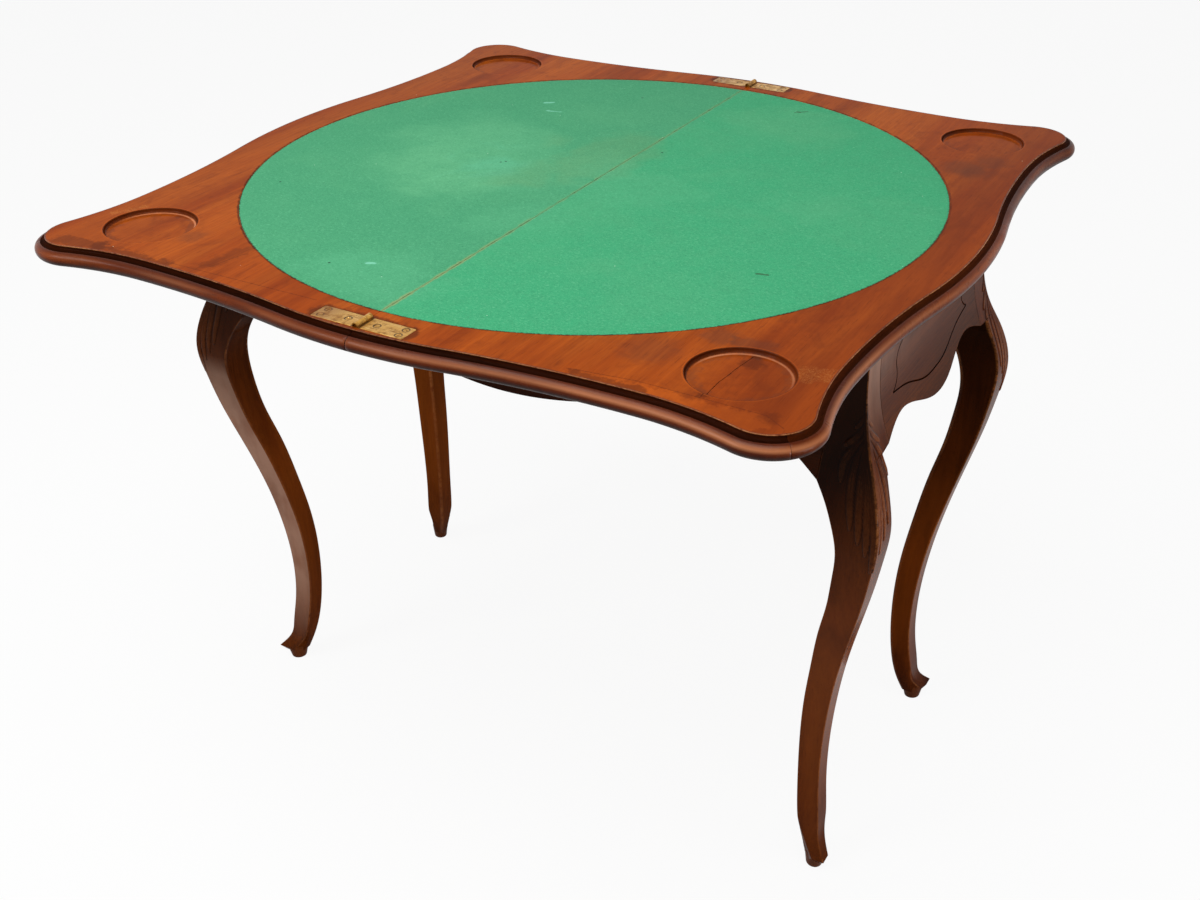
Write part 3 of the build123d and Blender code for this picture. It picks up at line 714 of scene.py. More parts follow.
def half_edge(swell):
    """Points and outward normals from the middle of a side to the corner's mitre.

    The arcs are the swell, the hollow that runs into the waist, the flare and the corner.
    """
    both = (WAIST_PLACE**2 + swell**2) / (2 * swell)
    turn = math.degrees(math.asin(WAIST_PLACE / both))
    length, rise = CORNER - WAIST_PLACE, WAIST - CORNER
    flare = (length**2 + rise**2 - CORNER_RADIUS**2) / (2 * (CORNER_RADIUS - rise))
    bend = math.degrees(math.asin(length / (flare + CORNER_RADIUS)))
    hollow = both - SWELL_RADIUS
    arcs = (
        ((0, WAIST + swell - SWELL_RADIUS), SWELL_RADIUS, 90, 90 - turn, 1),
        ((WAIST_PLACE, WAIST + hollow), hollow, 270 - turn, 270, -1),
        ((WAIST_PLACE, WAIST + flare), flare, 270, 270 + bend, -1),
        ((CORNER, CORNER), CORNER_RADIUS, 90 + bend, 45, 1),
    )
    run = []
    for number, (centre, radius, start, end, sign) in enumerate(arcs):
        step = 4.0 if radius > 100 else 2.0
        count = max(4, int(abs(math.radians(end - start)) * radius / step))
        for k in range(0 if number == 0 else 1, count + 1):
            a = math.radians(start + (end - start) * k / count)
            ray = (math.cos(a), math.sin(a))
            spot = (centre[0] + radius * ray[0], centre[1] + radius * ray[1])
            run.append((spot, (sign * ray[0], sign * ray[1])))
    return run


def placed(run, x_sign, y_sign):
    return [((x_sign * x, y_sign * y), (x_sign * a, y_sign * b)) for (x, y), (a, b) in run]


side_run = half_edge(SIDE_SWELL)
end_run = [((y, x), (b, a)) for (x, y), (a, b) in half_edge(END_SWELL)]
LEAVES = {"lower": 1, "folding": -1}
ENDS = {"near": -1, "far": 1}

# Leaf boards. Tools that cut a surface reach beyond it, to cut it cleanly
CLEAR = 3
RECESS = BAIZE + 0.2
# Place of the pivot plate both ways, a quarter of the top's half width, and its recess
PIVOT, PIVOT_RECESS = 466.25 / 4, 76.4


def recess_profile():
    """Reach and height of the baize recess's cutter."""
    upper = [(0, TOP + CLEAR), (RECESS + 0.9, TOP + CLEAR), (RECESS + 0.9, TOP)]
    return upper + [(RECESS + 0.2, TOP - 0.35), (RECESS, TOP - 0.7), (RECESS, TOP - 1), (0, TOP - 1)]


def dish_profile():
    """Reach and height of a dish's cutter, down its eased rim and its cove to its floor."""
    dish = [(0, TOP + CLEAR), (DISH_RADIUS + 1.1, TOP + CLEAR), (DISH_RADIUS + 1.1, TOP)]
    dish += [(DISH_RADIUS + 0.5, TOP - 0.12), (DISH_RADIUS + 0.1, TOP - 0.5)]
    for k in range(9):
        a = math.radians(90 * k / 8)
        reach = DISH_RADIUS - DISH_COVE + DISH_COVE * math.cos(a)
        dish.append((reach, TOP - 1 - DISH_COVE * math.sin(a)))
    return dish + [(20, TOP - 1 - DISH_COVE), (0, TOP - 1 - DISH_COVE)]


def board_cutters(leaf, sign):
    tools = [tool(lathe(recess_profile(), (0, 0), 256))]
    for y_sign in (1, -1):
        tools.append(tool(lathe(dish_profile(), (sign * DISH, y_sign * DISH), 128)))
        size = (2 * PLATE_LENGTH + 0.6, 2 * PLATE_HALF + 0.4)
        tools.append(box_tool((0, y_sign * HINGE), size, (TOP - PLATE_THICK, TOP + CLEAR)))
        tools.append(rod_tool(y_sign * HINGE, KNUCKLE_ROOM, 24.8))
    if leaf == "lower":
        under = TOP - THICK
        size = (PIVOT_RECESS, PIVOT_RECESS)
        tools.append(box_tool((PIVOT, PIVOT), size, (under - CLEAR, under + 3)))
        rings = []
        for x, y in CRACK[1:]:
            rings.append([(x - 0.35, y, TOP - 4.5), (x + 0.35, y, TOP - 4.5), (x, y, TOP - 6.0)])
        tools.append(tool(capped_tube(rings)))
    return tools


def make_board(leaf, sign):
    far_side, far_end = placed(side_run, sign, 1), placed(end_run, sign, 1)
    near_end, near_side = placed(end_run, sign, -1), placed(side_run, sign, -1)
    outline = far_side + far_end[::-1][1:] + near_end[1:] + near_side[::-1][1:]
    inset = [(x - LAP * a, y - LAP * b) for (x, y), (a, b) in outline]
    rings = []
    for z, ease in ((TOP - THICK, 0.5), (TOP - THICK + 0.5, 0), (TOP - 0.5, 0), (TOP, 0.45)):
        seam = GAP + ease
        rings.append([(sign * seam if abs(x) < seam else x, y, z) for x, y in inset])
    name, node = f"{leaf}_board", f"{leaf}_leaf_board"
    board = make_piece(name, capped_tube(rings), f"{leaf}_leaf", [top_wood], [node])
    combine(board, board_cutters(leaf, sign))
    sharpen(board, 40)


for leaf, sign in LEAVES.items():
    make_board(leaf, sign)

# Edge mouldings: the cove above, the half round below and the easing of their ends
COVE_REACH, COVE_DROP, ROUND, EASE = 4.25, 3.5, 8.0, 0.4
COVE_COLUMNS = range(4, 14)


def moulding_profile():
    """Reach and height of the section's corners, from the inner top edge round."""
    steps = [(-LAP, 0), (-0.9, 0), (-0.35, -0.05), (-0.08, -0.28), (0, -0.7), (0, -1.5)]
    for k in range(1, 9):
        a = math.radians(90 * k / 8)
        steps.append((COVE_REACH * (1 - math.cos(a)), -1.5 - COVE_DROP * math.sin(a)))
    for k in range(1, 24):
        a = math.radians(90 - 180 * k / 24)
        steps.append((COVE_REACH + ROUND * math.cos(a), ROUND - THICK + ROUND * math.sin(a)))
    return steps + [(COVE_REACH, -THICK), (-LAP, -THICK)]


profile = moulding_profile()


def ease_end(run):
    """The run with one more place just before its last."""
    ((x, y), normal), ((near_x, near_y), _) = run[-1], run[-2]
    share = EASE / math.hypot(near_x - x, near_y - y)
    place = (x + (near_x - x) * share, y + (near_y - y) * share)
    return run[:-1] + [(place, normal), run[-1]]


def make_moulding(name, run, leaf, node, materials, seam):
    """A strip of edge moulding, its ends eased so that its joints show as fine lines."""
    if seam:
        place, normal = run[0]
        run = [((math.copysign(GAP, run[1][0][0]), place[1]), normal)] + run[1:]
    run = ease_end(ease_end(run)[::-1])[::-1]
    rings, wear_and_highlight, dirt_and_shade, belly_highlight = [], [], [], []
    for number, ((x, y), (a, b)) in enumerate(run):
        at_end = number in (0, len(run) - 1)
        ease = EASE if at_end else 0
        # Share of the belly's painted highlight, growing towards the near right corner
        nearer = clamp((x - y - 200) / 500) * clamp(-y / 400)
        ring = []
        for reach, drop in profile:
            patch = noise.noise(Vector((x * 0.012, y * 0.012, drop * 0.03)))
            arris = max(0, 0.8 - abs(reach) / 0.9) if drop > -1 else 0.0
            wear_and_highlight.append(arris * (0.6 + 0.6 * patch))
            # Dark joints at the eased ends, and painted shade on the half round's underside and in the
            # crease above it
            under, crease = clamp((-12 - drop) / 4), max(0, 1 - abs(drop + 5) / 2.0)
            dirt_and_shade.append(0.9 if at_end and drop < -0.5 else max(0.85 * under, 0.5 * crease))
            # Painted highlight along the belly of the half round
            rubbed = max(0, 1 - abs(drop + 8.8) / 3.2) if reach > 5 else 0
            belly_highlight.append((0.08 + 0.42 * nearer + 0.24 * patch) * rubbed)
            reach -= ease if reach > 0 else 0
            drop += -ease if drop > -3 else (ease if drop < -18 else 0)
            ring.append((x + a * reach, y + b * reach, TOP + drop))
        rings.append(ring)
    cove = [int(column in COVE_COLUMNS) for column in range(len(profile))]
    parts = cove * (len(rings) - 1) + [0, 0]
    shape, body = capped_tube(rings), f"{leaf}_leaf"
    piece = make_piece(name, shape, body, materials, [node], 50, parts)
    for kind, values in (("wear_and_highlight", wear_and_highlight), ("dirt_and_shade", dirt_and_shade), ("belly_highlight", belly_highlight)):
        set_attribute(piece, kind, values)


for leaf, sign in LEAVES.items():
    whole = placed(end_run, sign, -1)[::-1] + placed(end_run, sign, 1)[1:]
    node = f"{leaf}_leaf_end_moulding"
    make_moulding(f"{leaf}_end_edge", whole, leaf, node, [edge_y, cove_shade_y], False)
    for end, y_sign in ENDS.items():
        run, node = placed(side_run, sign, y_sign), f"{leaf}_leaf_{end}_moulding"
        make_moulding(f"{leaf}_{end}_edge", run, leaf, node, [edge_x, cove_shade_x], True)

# Hinges. Knuckles have a place along the barrel and a length
KNUCKLES = {"lower": ((-8.15, 7.7), (8.15, 7.7)), "folding": ((0, 8.0),)}
KNUCKLE_RADIUS, PIN_HOLE, PLATE_ROUND, WEB = 3.5, 1.7, 1.6, 4.4
PLATE_STEPS = ((0.25, PLATE_THICK), (0, 1.6), (0, 0.25), (0.12, 0.07), (0.35, 0))
SCREW_HOLE = ((0, AXIS), (4.4, AXIS), (3.36, 739.95), (1.7, 738.1), (0, 738.1))
SCREW = (
    (0, 739.86), (2.3, 739.84), (2.95, 739.74), (3.2, 739.6),
    (3.2, 739.5), (1.6, 737.9), (1.6, 729.0), (0, 727.0),
)
PIN = ((0.9, -9.4), (1.45, -9.2), (1.6, -8.8), (1.6, 8.8), (1.45, 9.2), (0.9, 9.4))
RIM_WIDTH = 0.00018


def make_hinge_plate(leaf, sign, end, y_sign):
    middle = y_sign * HINGE
    rings = []
    for inset, drop in PLATE_STEPS:
        length, half = PLATE_LENGTH - inset, PLATE_HALF - inset
        corner = []
        for degrees in (0, 30, 60, 90):
            a = math.radians(degrees)
            x = length - PLATE_ROUND + PLATE_ROUND * math.cos(a)
            corner.append((x, half - PLATE_ROUND + PLATE_ROUND * math.sin(a)))
        spots = corner + [(0, half), (0, -half)] + [(x, -y) for x, y in corner[::-1]]
        rings.append([(sign * x, middle + y, TOP - drop) for x, y in spots])
    name, node = f"brass_{leaf}_hinge_{end}", f"{leaf}_hinge_plate_{end}"
    plate = make_piece(name, capped_tube(rings), f"{leaf}_leaf", [brass], [node])
    combine(plate, [rod_tool(middle, KNUCKLE_ROOM, 40)])
    joined = []
    for y, length in KNUCKLES[leaf]:
        joined.append(box_tool((sign * 3.2, middle + y), (WEB, length), (738.2, 739.9)))
    for y, length in KNUCKLES[leaf]:
        joined.append(rod_tool(middle + y, KNUCKLE_RADIUS, length))
    combine(plate, joined, "UNION")
    holes = [rod_tool(middle, PIN_HOLE, 40)]
    holes += [rod_tool(middle + place, 2.5, 6.0) for place in (-PLATE_HALF, PLATE_HALF)]
    holes += [tool(lathe(SCREW_HOLE, (sign * x, middle + y), 32)) for x, y in SCREWS]
    combine(plate, holes)
    rim = plate.modifiers.new("rim", "BEVEL")
    rim.width, rim.segments, rim.angle_limit = RIM_WIDTH, 2, math.radians(50)
    sharpen(plate, 45)


def make_screws(leaf, sign):
    """All screws of a leaf's hinges, each with its slot turned its own way."""
    points, faces, slots = [], [], []
    for y_sign in ENDS.values():
        for number, (x, y) in enumerate(SCREWS):
            spot = (sign * x, y_sign * HINGE + y)
            more, extra = lathe(SCREW, spot, 32)
            faces += [tuple(len(points) + k for k in face) for face in extra]
            points += more
            turn = math.radians(37 + 67 * number + 31 * sign + 53 * y_sign)
            slot = box_tool((0, 0), (7.2, 0.75), (738.95, AXIS))
            slot.data.transform(Matrix.Rotation(turn, 4, "Z"))
            slot.data.transform(Matrix.Translation((spot[0] * MM, spot[1] * MM, 0)))
            slots.append(slot)
    name, node = f"{leaf}_screws", f"{leaf}_hinge_screws"
    screws = make_piece(name, (points, faces), f"{leaf}_leaf", [brass], [node])
    combine(screws, slots)
    sharpen(screws, 40)


def make_pin(end, y_sign):
    rings = [circle((0, y_sign * HINGE + y, AXIS), radius) for radius, y in PIN]
    shape, node = capped_tube(rings), f"hinge_pin_{end}"
    make_piece(f"{end}_pin", shape, "lower_leaf", [brass], [node])


for leaf, sign in LEAVES.items():
    make_screws(leaf, sign)
    for end, y_sign in ENDS.items():
        make_hinge_plate(leaf, sign, end, y_sign)
for end, y_sign in ENDS.items():
    make_pin(end, y_sign)

# Baize: heights of its two faces, and the width in which its edge is pressed down
CLOTH_TOP, CLOTH_BASE, PRESSED = TOP - 0.05, TOP - 0.98, 1.2


def make_felt(leaf, sign):
    """A half disc of cloth with soft waves and a slightly ragged rim."""
    rings, turns = 80, 180
    points = []
    for upper in (True, False):
        for i in range(rings + 1):
            for j in range(turns + 1):
                turn = math.radians(-90 + 180 * j / turns)
                reach = BAIZE * i / rings
                if i == rings:
                    reach -= 0.5 * abs(noise.noise(Vector((turn * 60, sign * 9, 0))))
                x, y = max(GAP + 0.05, reach * math.cos(turn)), reach * math.sin(turn)
                z = CLOTH_BASE
                if upper:
                    wave = noise.noise(Vector((x * 0.02, y * 0.02, sign * 5)))
                    edge = min(x - GAP, BAIZE - reach)
                    z = CLOTH_TOP + 0.12 * wave - 0.5 * max(0, 1 - edge / PRESSED) ** 2
                points.append((sign * x, y, z))
    columns = turns + 1
    count = (rings + 1) * columns
    faces = grid_faces(rings + 1, columns)
    faces += [tuple(count + k for k in face)[::-1] for face in faces]
    rim = [(i * columns + j, (i + 1) * columns + j) for i in range(rings) for j in (0, turns)]
    rim += [(rings * columns + j, rings * columns + j + 1) for j in range(turns)]
    faces += [(a, b, b + count, a + count) for a, b in rim]
    name, node = f"{leaf}_baize", f"{leaf}_leaf_felt"
    piece = make_piece(name, (points, faces), f"{leaf}_leaf", [cloth], [node])
    outward(piece.data, 0.02 * MM)


for leaf, sign in LEAVES.items():
    make_felt(leaf, sign)

# Legs: their places, heights of the aprons' ears and of the frame, and the reach of the knee,
# of the sweep behind it and of the post
LEG_X, LEG_Y, EAR, FRAME_TOP, KNEE, SWEEP, POST = 404.0, 177.0, 563.0, 718.5, 49.0, 34.0, 24.0
# Height as a share of the ear's, then the reach as a share of the knee's or the sweep's.
# From 1 to 2 the height runs from the ear to the frame's top
FRONT = (
    (2.000, 0.224), (1.495, 0.276), (1.238, 0.480), (1.064, 0.708), (0.968, 0.902), (0.915, 1.004),
    (0.844, 0.935), (0.764, 0.775), (0.654, 0.483), (0.533, 0.175), (0.417, -0.030),
    (0.284, -0.133), (0.178, -0.080), (0.107, 0.024), (0.067, 0.120), (0.039, 0.368),
)
REAR = (
    (0.062, -0.574), (0.107, -0.750), (0.178, -0.912), (0.266, -1.000), (0.355, -0.997),
    (0.444, -0.894), (0.533, -0.700), (0.654, -0.365), (0.728, -0.094), (0.803, 0.079),
    (0.879, 0.147),
)


def level(share):
    return min(share, 1) * EAR + max(share - 1, 0) * (FRAME_TOP - EAR)


def curve(spots, count=800):
    """Natural cubic spline through the spots, by chord length."""
    p = np.array(spots, float)
    t = np.r_[0, np.cumsum(np.linalg.norm(np.diff(p, axis=0), axis=1))]
    n, h = len(t), np.diff(t)
    matrix, bends = np.zeros((n, n)), np.zeros((n, p.shape[1]))
    matrix[0, 0] = matrix[-1, -1] = 1
    for i in range(1, n - 1):
        matrix[i, i - 1 : i + 2] = h[i - 1], 2 * (h[i - 1] + h[i]), h[i]
        bends[i] = 6 * ((p[i + 1] - p[i]) / h[i] - (p[i] - p[i - 1]) / h[i - 1])
    m = np.linalg.solve(matrix, bends)
    x = np.linspace(0, t[-1], count)
    i = np.clip(np.searchsorted(t, x) - 1, 0, n - 2)
    w, d, s = h[i, None], (x - t[i])[:, None], (t[i + 1] - x)[:, None]
    return (
        (m[i] * s**3 + m[i + 1] * d**3) / (6 * w)
        + (p[i] / w - m[i] * w / 6) * s
        + (p[i + 1] / w - m[i + 1] * w / 6) * d
    )


front_line = curve([(r * KNEE, level(s)) for s, r in FRONT])[::-1]
heel = [(-12.5, 13.0)] + [(o * SWEEP, level(s)) for s, o in REAR]
long_line = curve(heel + [(-2.5, level(0.932)), (-12.0, level(0.968)), (-POST, EAR)])
end_line = curve(heel + [(7.5, level(0.936)), (4.0, level(0.986)), (-2.0, EAR + 10)])


def front(z):
    return np.interp(z, front_line[:, 1], front_line[:, 0])


def long_back(z):
    return np.where(z >= EAR, -POST, np.interp(z, long_line[:, 1], long_line[:, 0]))


def end_back(z):
    return np.where(z >= EAR + 26, -POST, np.interp(z, end_line[:, 1], end_line[:, 0]))


# Carved lobes of the knee's leaf: the middle line as distance in from the corner and height,
# and the half width
LOBES = (
    (((0.6, 643), (2.2, 600), (3.4, 540), (2.0, 479)), 4.4),
    (((3.0, 606), (7.5, 570), (11.0, 535), (11.0, 498)), 4.3),
    (((5.0, 604), (13.5, 572), (19.0, 543), (20.5, 510)), 4.3),
    (((6.0, 606), (20.0, 580), (27.0, 556), (29.5, 524)), 4.1),
    (((5.0, 612), (19.0, 598), (30.0, 584), (35.5, 568)), 3.8),
    (((3.0, 624), (10.0, 614), (19.0, 606), (26.0, 601)), 3.0),
    (((1.5, 636), (5.0, 629), (9.5, 623), (13.0, 620)), 2.2),
)
LEAF_LOW, LEAF_HIGH = 466, 650
# The foot: heights of its base, of the top of its straight part and of its whole, its reach
# at the base, and the half width that its sides are cut back to
FOOT_BASE, FOOT_STRAIGHT, FOOT_HEIGHT = 13.0, 21.957, 74.0
FOOT_REACH, FOOT_WIDTH = 11.5, 20.5
FOOT_SIDES = ((0, 0.39), (0.19, 0.48), (0.36, 0.56), (0.62, 0.74), (1, 1))
foot_line = curve([(w * FOOT_WIDTH, h * FOOT_HEIGHT) for h, w in FOOT_SIDES])
PAD = (
    (0, 0), (9.2, 0), (10.2, 0.4), (10.7, 1.4), (11.2, 3.6),
    (13.3, 12.0), (15.2, 19.0), (15.4, 21.0), (0, 21.0),
)
# A leg's face 1 looks out to the table's end and 2 out to its long side. 0 and 3 look in,
# and the corners are -1 to -4. Each face has a number of points and each corner a radius
FACE_POINTS, CORNER_RADII = (10, 56, 56, 10), (3.0, 1.2, 1.0, 1.2)


def leaf_relief(inward, height):
    """Height of the carved leaf, and its shadowed valleys, at points of a leg's face."""
    relief, valley = np.zeros_like(inward), np.zeros_like(inward)
    for spots, widest in LOBES:
        line = curve(spots, 90)
        share = np.linspace(0, 1, 90)
        gaps = np.hypot(inward[..., None] - line[:, 0], height[..., None] - line[:, 1])
        nearest = gaps.argmin(axis=-1)
        ways = np.gradient(line, axis=0)
        spans = np.linalg.norm(ways, axis=1)
        ways /= spans[:, None]
        offset = np.stack((inward, height), axis=-1) - line[nearest]
        along = (offset * ways[nearest]).sum(axis=-1)
        along = np.clip(along, -spans[nearest], spans[nearest])
        gap = np.linalg.norm(offset - along[..., None] * ways[nearest], axis=-1)
        place = np.clip(share[nearest] + along / (spans[nearest] * 89), 0, 1)
        width = widest * np.minimum(1, 0.30 + 1.6 * place)
        width = width * np.sqrt(np.clip(1 - (np.clip(place - 0.72, 0, 1) / 0.30) ** 2, 0.02, 1))
        crown = np.sqrt(np.clip(1 - (gap / width) ** 2, 0, 1))
        vein = np.exp(-((gap / 0.55) ** 2)) * np.clip(1.2 - abs(place - 0.5) * 2.4, 0, 1)
        relief = np.maximum(relief, crown * (0.7 + 0.5 * place) - 0.30 * vein * (crown > 0))
        valley = np.maximum(valley, np.exp(-(((gap - width) / 0.7) ** 2)))
    return relief, valley * (relief < 0.4)


def diagonal(a, b):
    """Turn a place of a leg to its diagonal's axes, or back."""
    return (a + b) / math.sqrt(2), (a - b) / math.sqrt(2)


def squeeze(x, y, z):
    """Point of the foot, moved in to its side, which is cut back across the diagonal."""
    if z >= FOOT_HEIGHT:
        return x, y
    along, across = diagonal(x, y)
    limit = float(np.interp(z, foot_line[:, 1], foot_line[:, 0]))
    if abs(across) > limit:
        across = math.copysign(limit + 0.12 * (abs(across) - limit) ** 0.5, across)
    return diagonal(along, across)


def leg_section(z):
    """Ring of the sawn leg at a height: place, outward direction and face of each point."""
    f, long, end = float(front(z)), float(long_back(z)), float(end_back(z))
    if z < FOOT_STRAIGHT:
        share = (z - FOOT_BASE) / (FOOT_STRAIGHT - FOOT_BASE)
        f = FOOT_REACH + (float(front(FOOT_STRAIGHT)) - FOOT_REACH) * share
    corners = [np.array(c) for c in ((long, end), (f, end), (f, f), (long, f))]
    ring = []
    for k in range(4):
        here, ahead, before = corners[k], corners[(k + 1) % 4], corners[k - 1]
        radius, count = CORNER_RADII[k], FACE_POINTS[k]
        run = (ahead - here) / np.linalg.norm(ahead - here)
        came = (here - before) / np.linalg.norm(here - before)
        out, was = np.array((run[1], -run[0])), np.array((came[1], -came[0]))
        centre = here + run * radius - came * radius
        for step in range(4):
            a = math.radians(22.5 * (step + 0.5))
            way = was * math.cos(a) + out * math.sin(a)
            ring.append((centre + way * radius, way, -1 - k))
        start, stop = here + run * radius, ahead - run * CORNER_RADII[(k + 1) % 4]
        for step in range(count):
            ring.append((start + (stop - start) * (step + 0.5) / count, out, k))
    return f, ring


def carve(sections):
    """Relief and valleys of the carving at each point of the sections."""
    inward, carved = [], []
    for f, ring in sections:
        depths = [f - spot[int(face == 1)] if face in (1, 2) else 0.0 for spot, out, face in ring]
        inward.append(depths)
        carved.append([face in (1, 2, -3) for spot, out, face in ring])
    inward = np.array(inward)
    height = np.repeat(levels[:, None], inward.shape[1], axis=1)
    relief, valley = leaf_relief(inward, height)
    carved = np.array(carved) & (height > LEAF_LOW) & (height < LEAF_HIGH)
    return relief * carved, valley * carved


foot_levels, shank_levels = np.arange(FOOT_BASE, 60, 1.5), np.arange(60, 464, 4.0)
knee_levels, post_levels = np.arange(464, 652, 1.0), np.arange(652, 718, 4.0)
levels = np.r_[foot_levels, shank_levels, knee_levels, post_levels, FRAME_TOP]
sections = [leg_section(float(z)) for z in levels]
relief, valley = carve(sections)


def painted_sheen_share(face, z, x_sign, y_sign):
    """Share of painted pale sheen on a face of a leg, from 0 to 1."""
    if y_sign > 0:
        return 0.0
    if x_sign < 0 and face == 2:
        return 0.62 * clamp((z - 30) / 120) * clamp((505 - z) / 30)
    if x_sign > 0 and face == 1:
        return 0.50 * clamp((z - 600) / 90)
    return 0.0


def painted_shade_share(face, z, y_sign):
    """Share of painted shade under the top, and of darkening at the foot, from 0 to 1."""
    start, run = (400, 180) if y_sign < 0 else (240, 320)
    darkest = 0.0 if face == 1 else (0.30 if face == 2 and y_sign > 0 else 0.90)
    return max(darkest * clamp((z - start) / run), 0.45 * max(0, 1 - z / 60))


def make_leg(name, x_sign, y_sign):
    rings, wear_and_highlight, dirt_and_shade, dark, painted_sheen = [], [], [], [], []
    for i, (f, ring) in enumerate(sections):
        z, line = float(levels[i]), []
        for j, (spot, out, face) in enumerate(ring):
            x, y = squeeze(*(spot + out * relief[i, j]), z)
            line.append((x_sign * (LEG_X + x), y_sign * (LEG_Y + y), z))
            patch = noise.noise(Vector((x * 0.03, y * 0.03 + 9 * x_sign, z * 0.02 + 7 * y_sign)))
            arris = 0.75 + patch if face < 0 else 0.0
            # Painted highlight: the carved ridges on the faces to the ends are paler, as if lit
            crown = (0.30 if face == 1 else 0.06) * (relief[i, j] > 0.8)
            wear_and_highlight.append(0.4 * arris + crown)
            # Painted shade in the valleys of the carving
            dirt_and_shade.append(0.8 * valley[i, j])
            # Painted shade under the top, and a painted pale sheen on some faces
            dark.append(painted_shade_share(face, z, y_sign))
            painted_sheen.append(painted_sheen_share(face, z, x_sign, y_sign))
        rings.append(line)
    points, faces = capped_tube(rings)
    more, extra = lathe(PAD, (0, 0), 64)
    faces += [tuple(len(points) + k for k in face) for face in extra]
    for x, y, z in more:
        along, across = diagonal(x, y)
        x, y = diagonal(along, across * (0.92 - 0.008 * z))
        points.append((x_sign * (LEG_X + x), y_sign * (LEG_Y + y), z))
    backs = [int(face in (0, 3)) for spot, out, face in sections[0][1]]
    parts = backs * (len(levels) - 1) + [0, 0] + [0] * len(extra)
    shape, materials = (points, faces), [leg_wood, leg_back]
    name, node = f"cabriole_{name}", f"leg_{name}"
    piece = make_piece(name, shape, "base", materials, [node], 38, parts)
    # Each attribute's values on the leg, then its one value on the pad
    finish = {"wear_and_highlight": (wear_and_highlight, 0.1), "dirt_and_shade": (dirt_and_shade, 0.1), "shade": (dark, 0.15), "painted_sheen": (painted_sheen, 0.0)}
    for kind, (values, on_pad) in finish.items():
        set_attribute(piece, kind, values + [on_pad] * len(more))


for y_name, y_sign in ENDS.items():
    for x_name, x_sign in (("left", -1), ("right", 1)):
        make_leg(f"{y_name}_{x_name}", x_sign, y_sign)

# Aprons: half lengths, how far their backs lie in from the legs' places, the lines' radius
END_HALF, LONG_HALF, APRON_BACK, GROOVE = 153.0, 380.0, 13.0, 1.0
# Half length, place, steps along the apron, scale of the incised lines and their steps
APRONS = {
    "end": (END_HALF, LEG_X, 120, 1.0, 90),
    "long": (LONG_HALF, LEG_Y, 240, 300 / 120, 160),
}
# The lower edges and incised lines: place along the apron, height above the ears or the floor
ARCH = 39.0
LOWER_EDGES = {
    "end": ((0, 16), (0.25 * END_HALF, 21.75), (0.68 * END_HALF, ARCH), (END_HALF, 26)),
    "long": (
        (0, 1),
        (0.30 * LONG_HALF, 41 / 3),
        (0.66 * LONG_HALF, ARCH),
        (0.92 * LONG_HALF, ARCH / 2),
        (LONG_HALF, 0),
    ),
}
LINES = (
    ((-120, 627), (-105, 625), (-76, 619), (-49, 610), (-20, 604), (0, 603.5)),
    ((-120, 627), (-109, 634), (-105, 642), (-107, 656), (-97, 671), (-65, 676), (-30, 680), (0, 685)),
)


def to_world(kind, sign, along, out, z):
    """Point of an apron from its place along it and out from the table's middle."""
    return (sign * out, along, z) if kind == "end" else (along, sign * out, z)


def groove_tool(line, place, kind, sign):
    """Round cutter along a line on the bombé face."""
    spots = [Vector((u, place + float(front(z)) - 0.1, z)) for u, z in line]
    rings = []
    for k, spot in enumerate(spots):
        ahead = spots[min(k + 1, len(spots) - 1)] - spots[max(k - 1, 0)]
        ahead.normalize()
        slope = (float(front(spot.z + 1)) - float(front(spot.z - 1))) / 2
        out = Vector((0, 1, -slope))
        out = (out - ahead * out.dot(ahead)).normalized()
        across = ahead.cross(out)
        ring = []
        for step in range(8):
            a = 2 * math.pi * step / 8
            point = spot + out * (GROOVE * math.cos(a)) + across * (GROOVE * math.sin(a))
            ring.append(to_world(kind, sign, *point))
        rings.append(ring)
    return tool(capped_tube(rings), [groove_wood])


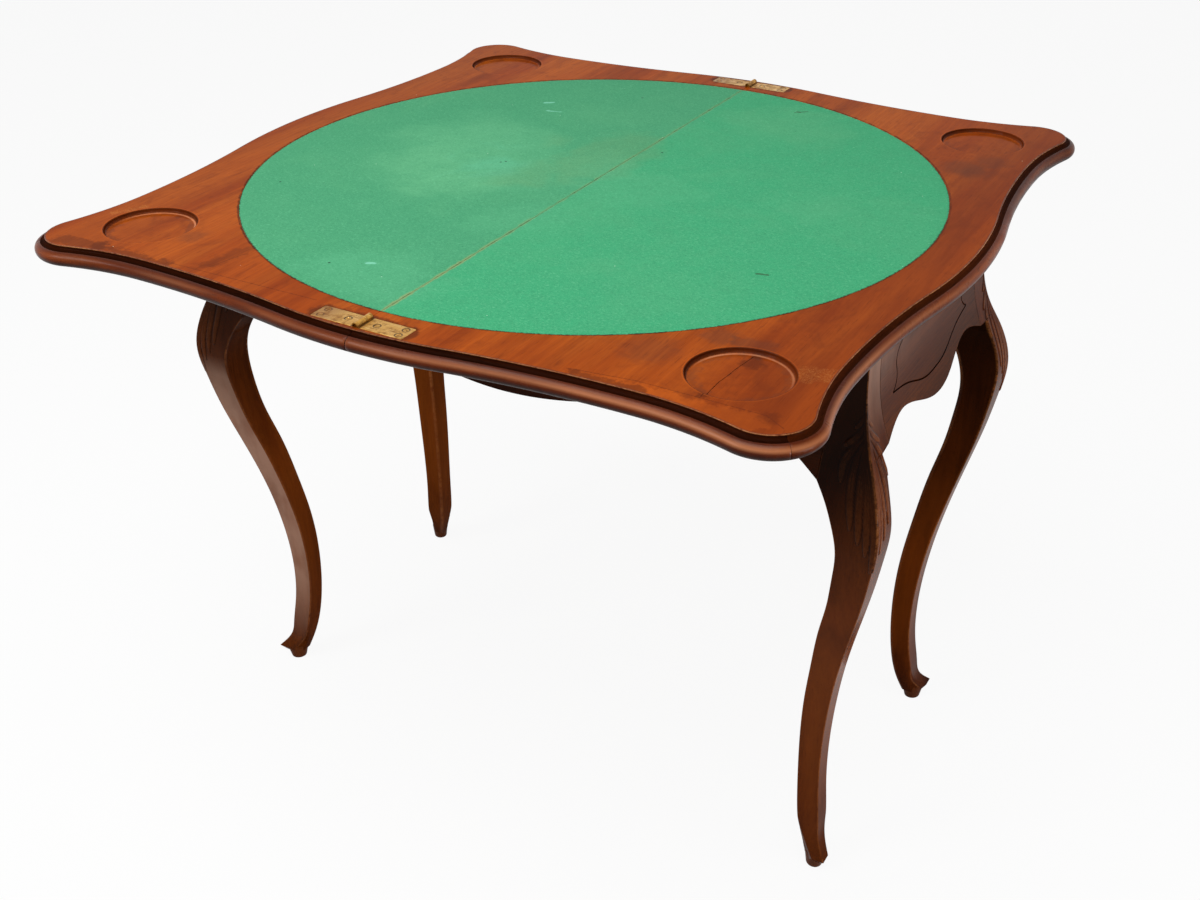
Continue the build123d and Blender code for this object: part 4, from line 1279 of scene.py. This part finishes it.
def paint_apron_light(piece, kind, sign):
    """Painted shade on the long aprons. The end aprons: painted shade below, painted sheen above at
    the near end.
    """
    places = [(spot.co.y / MM, spot.co.z / MM) for spot in piece.data.vertices]
    if kind == "long":
        set_attribute(piece, "shade", [0.7 if sign < 0 else 0.25] * len(places))
        return
    painted_sheen = [0.40 * clamp((60 - y) / 200) * clamp((z - 630) / 70) for y, z in places]
    dark = [0.55 * clamp((700 - z) / 110) * (0.5 + 0.5 * clamp((y + 100) / 200)) for y, z in places]
    set_attribute(piece, "painted_sheen", painted_sheen)
    set_attribute(piece, "shade", dark)


def make_apron(name, kind, sign, material):
    half, place, count, scale, line_count = APRONS[kind]
    edge = [(u, EAR + rise) for u, rise in LOWER_EDGES[kind]]
    low = curve([(-u, z) for u, z in edge[:0:-1]] + edge)
    rings = []
    for u in np.linspace(-half, half, count + 1):
        z_low = float(np.interp(u, low[:, 0], low[:, 1]))
        section = [(place - APRON_BACK, z_low), (place - APRON_BACK, FRAME_TOP)]
        heights = z_low + (FRAME_TOP - z_low) * np.linspace(1, 0, 44)
        section += [(place + float(front(z)), float(z)) for z in heights[:-1]]
        section += [(place + float(front(z_low + 0.5)), z_low + 0.5)]
        section += [(place + float(front(z_low)) - 0.5, z_low)]
        rings.append([to_world(kind, sign, u, out, z) for out, z in section])
    shape = capped_tube(rings)
    piece = make_piece(f"bombe_{name}", shape, "base", [material], [name])
    tools = []
    for line in LINES:
        whole = [(u * scale, z) for u, z in line]
        whole += [(-u, z) for u, z in whole[-2::-1]]
        path = [tuple(spot) for spot in curve(whole, line_count)]
        tools.append(groove_tool(path, place, kind, sign))
    combine(piece, tools)
    paint_apron_light(piece, kind, sign)
    sharpen(piece, 40)


make_apron("apron_near", "long", -1, apron_x)
make_apron("apron_far", "long", 1, apron_x)
make_apron("apron_left", "end", -1, apron_y)
make_apron("apron_right", "end", 1, apron_y)

# CAD nodes that no piece replaces. The others are brass, and hidden
cad_materials = {
    "cross_rail": bare_y,
    "rail_glue_blocks": bare_x,
    "well_floor_board": bare_x,
    "well_bearers": bare_x,
    "stop_peg": bare_x,
    "pivot_bush": brass,
    "pivot_washer": iron,
    "pivot_nut": iron,
    "pivot_plate": iron,
    "pivot_plate_screws": iron,
}
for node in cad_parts:
    material = cad_materials.get(node, brass)
    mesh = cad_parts[node].data
    mesh.materials.clear()
    mesh.materials.append(material)
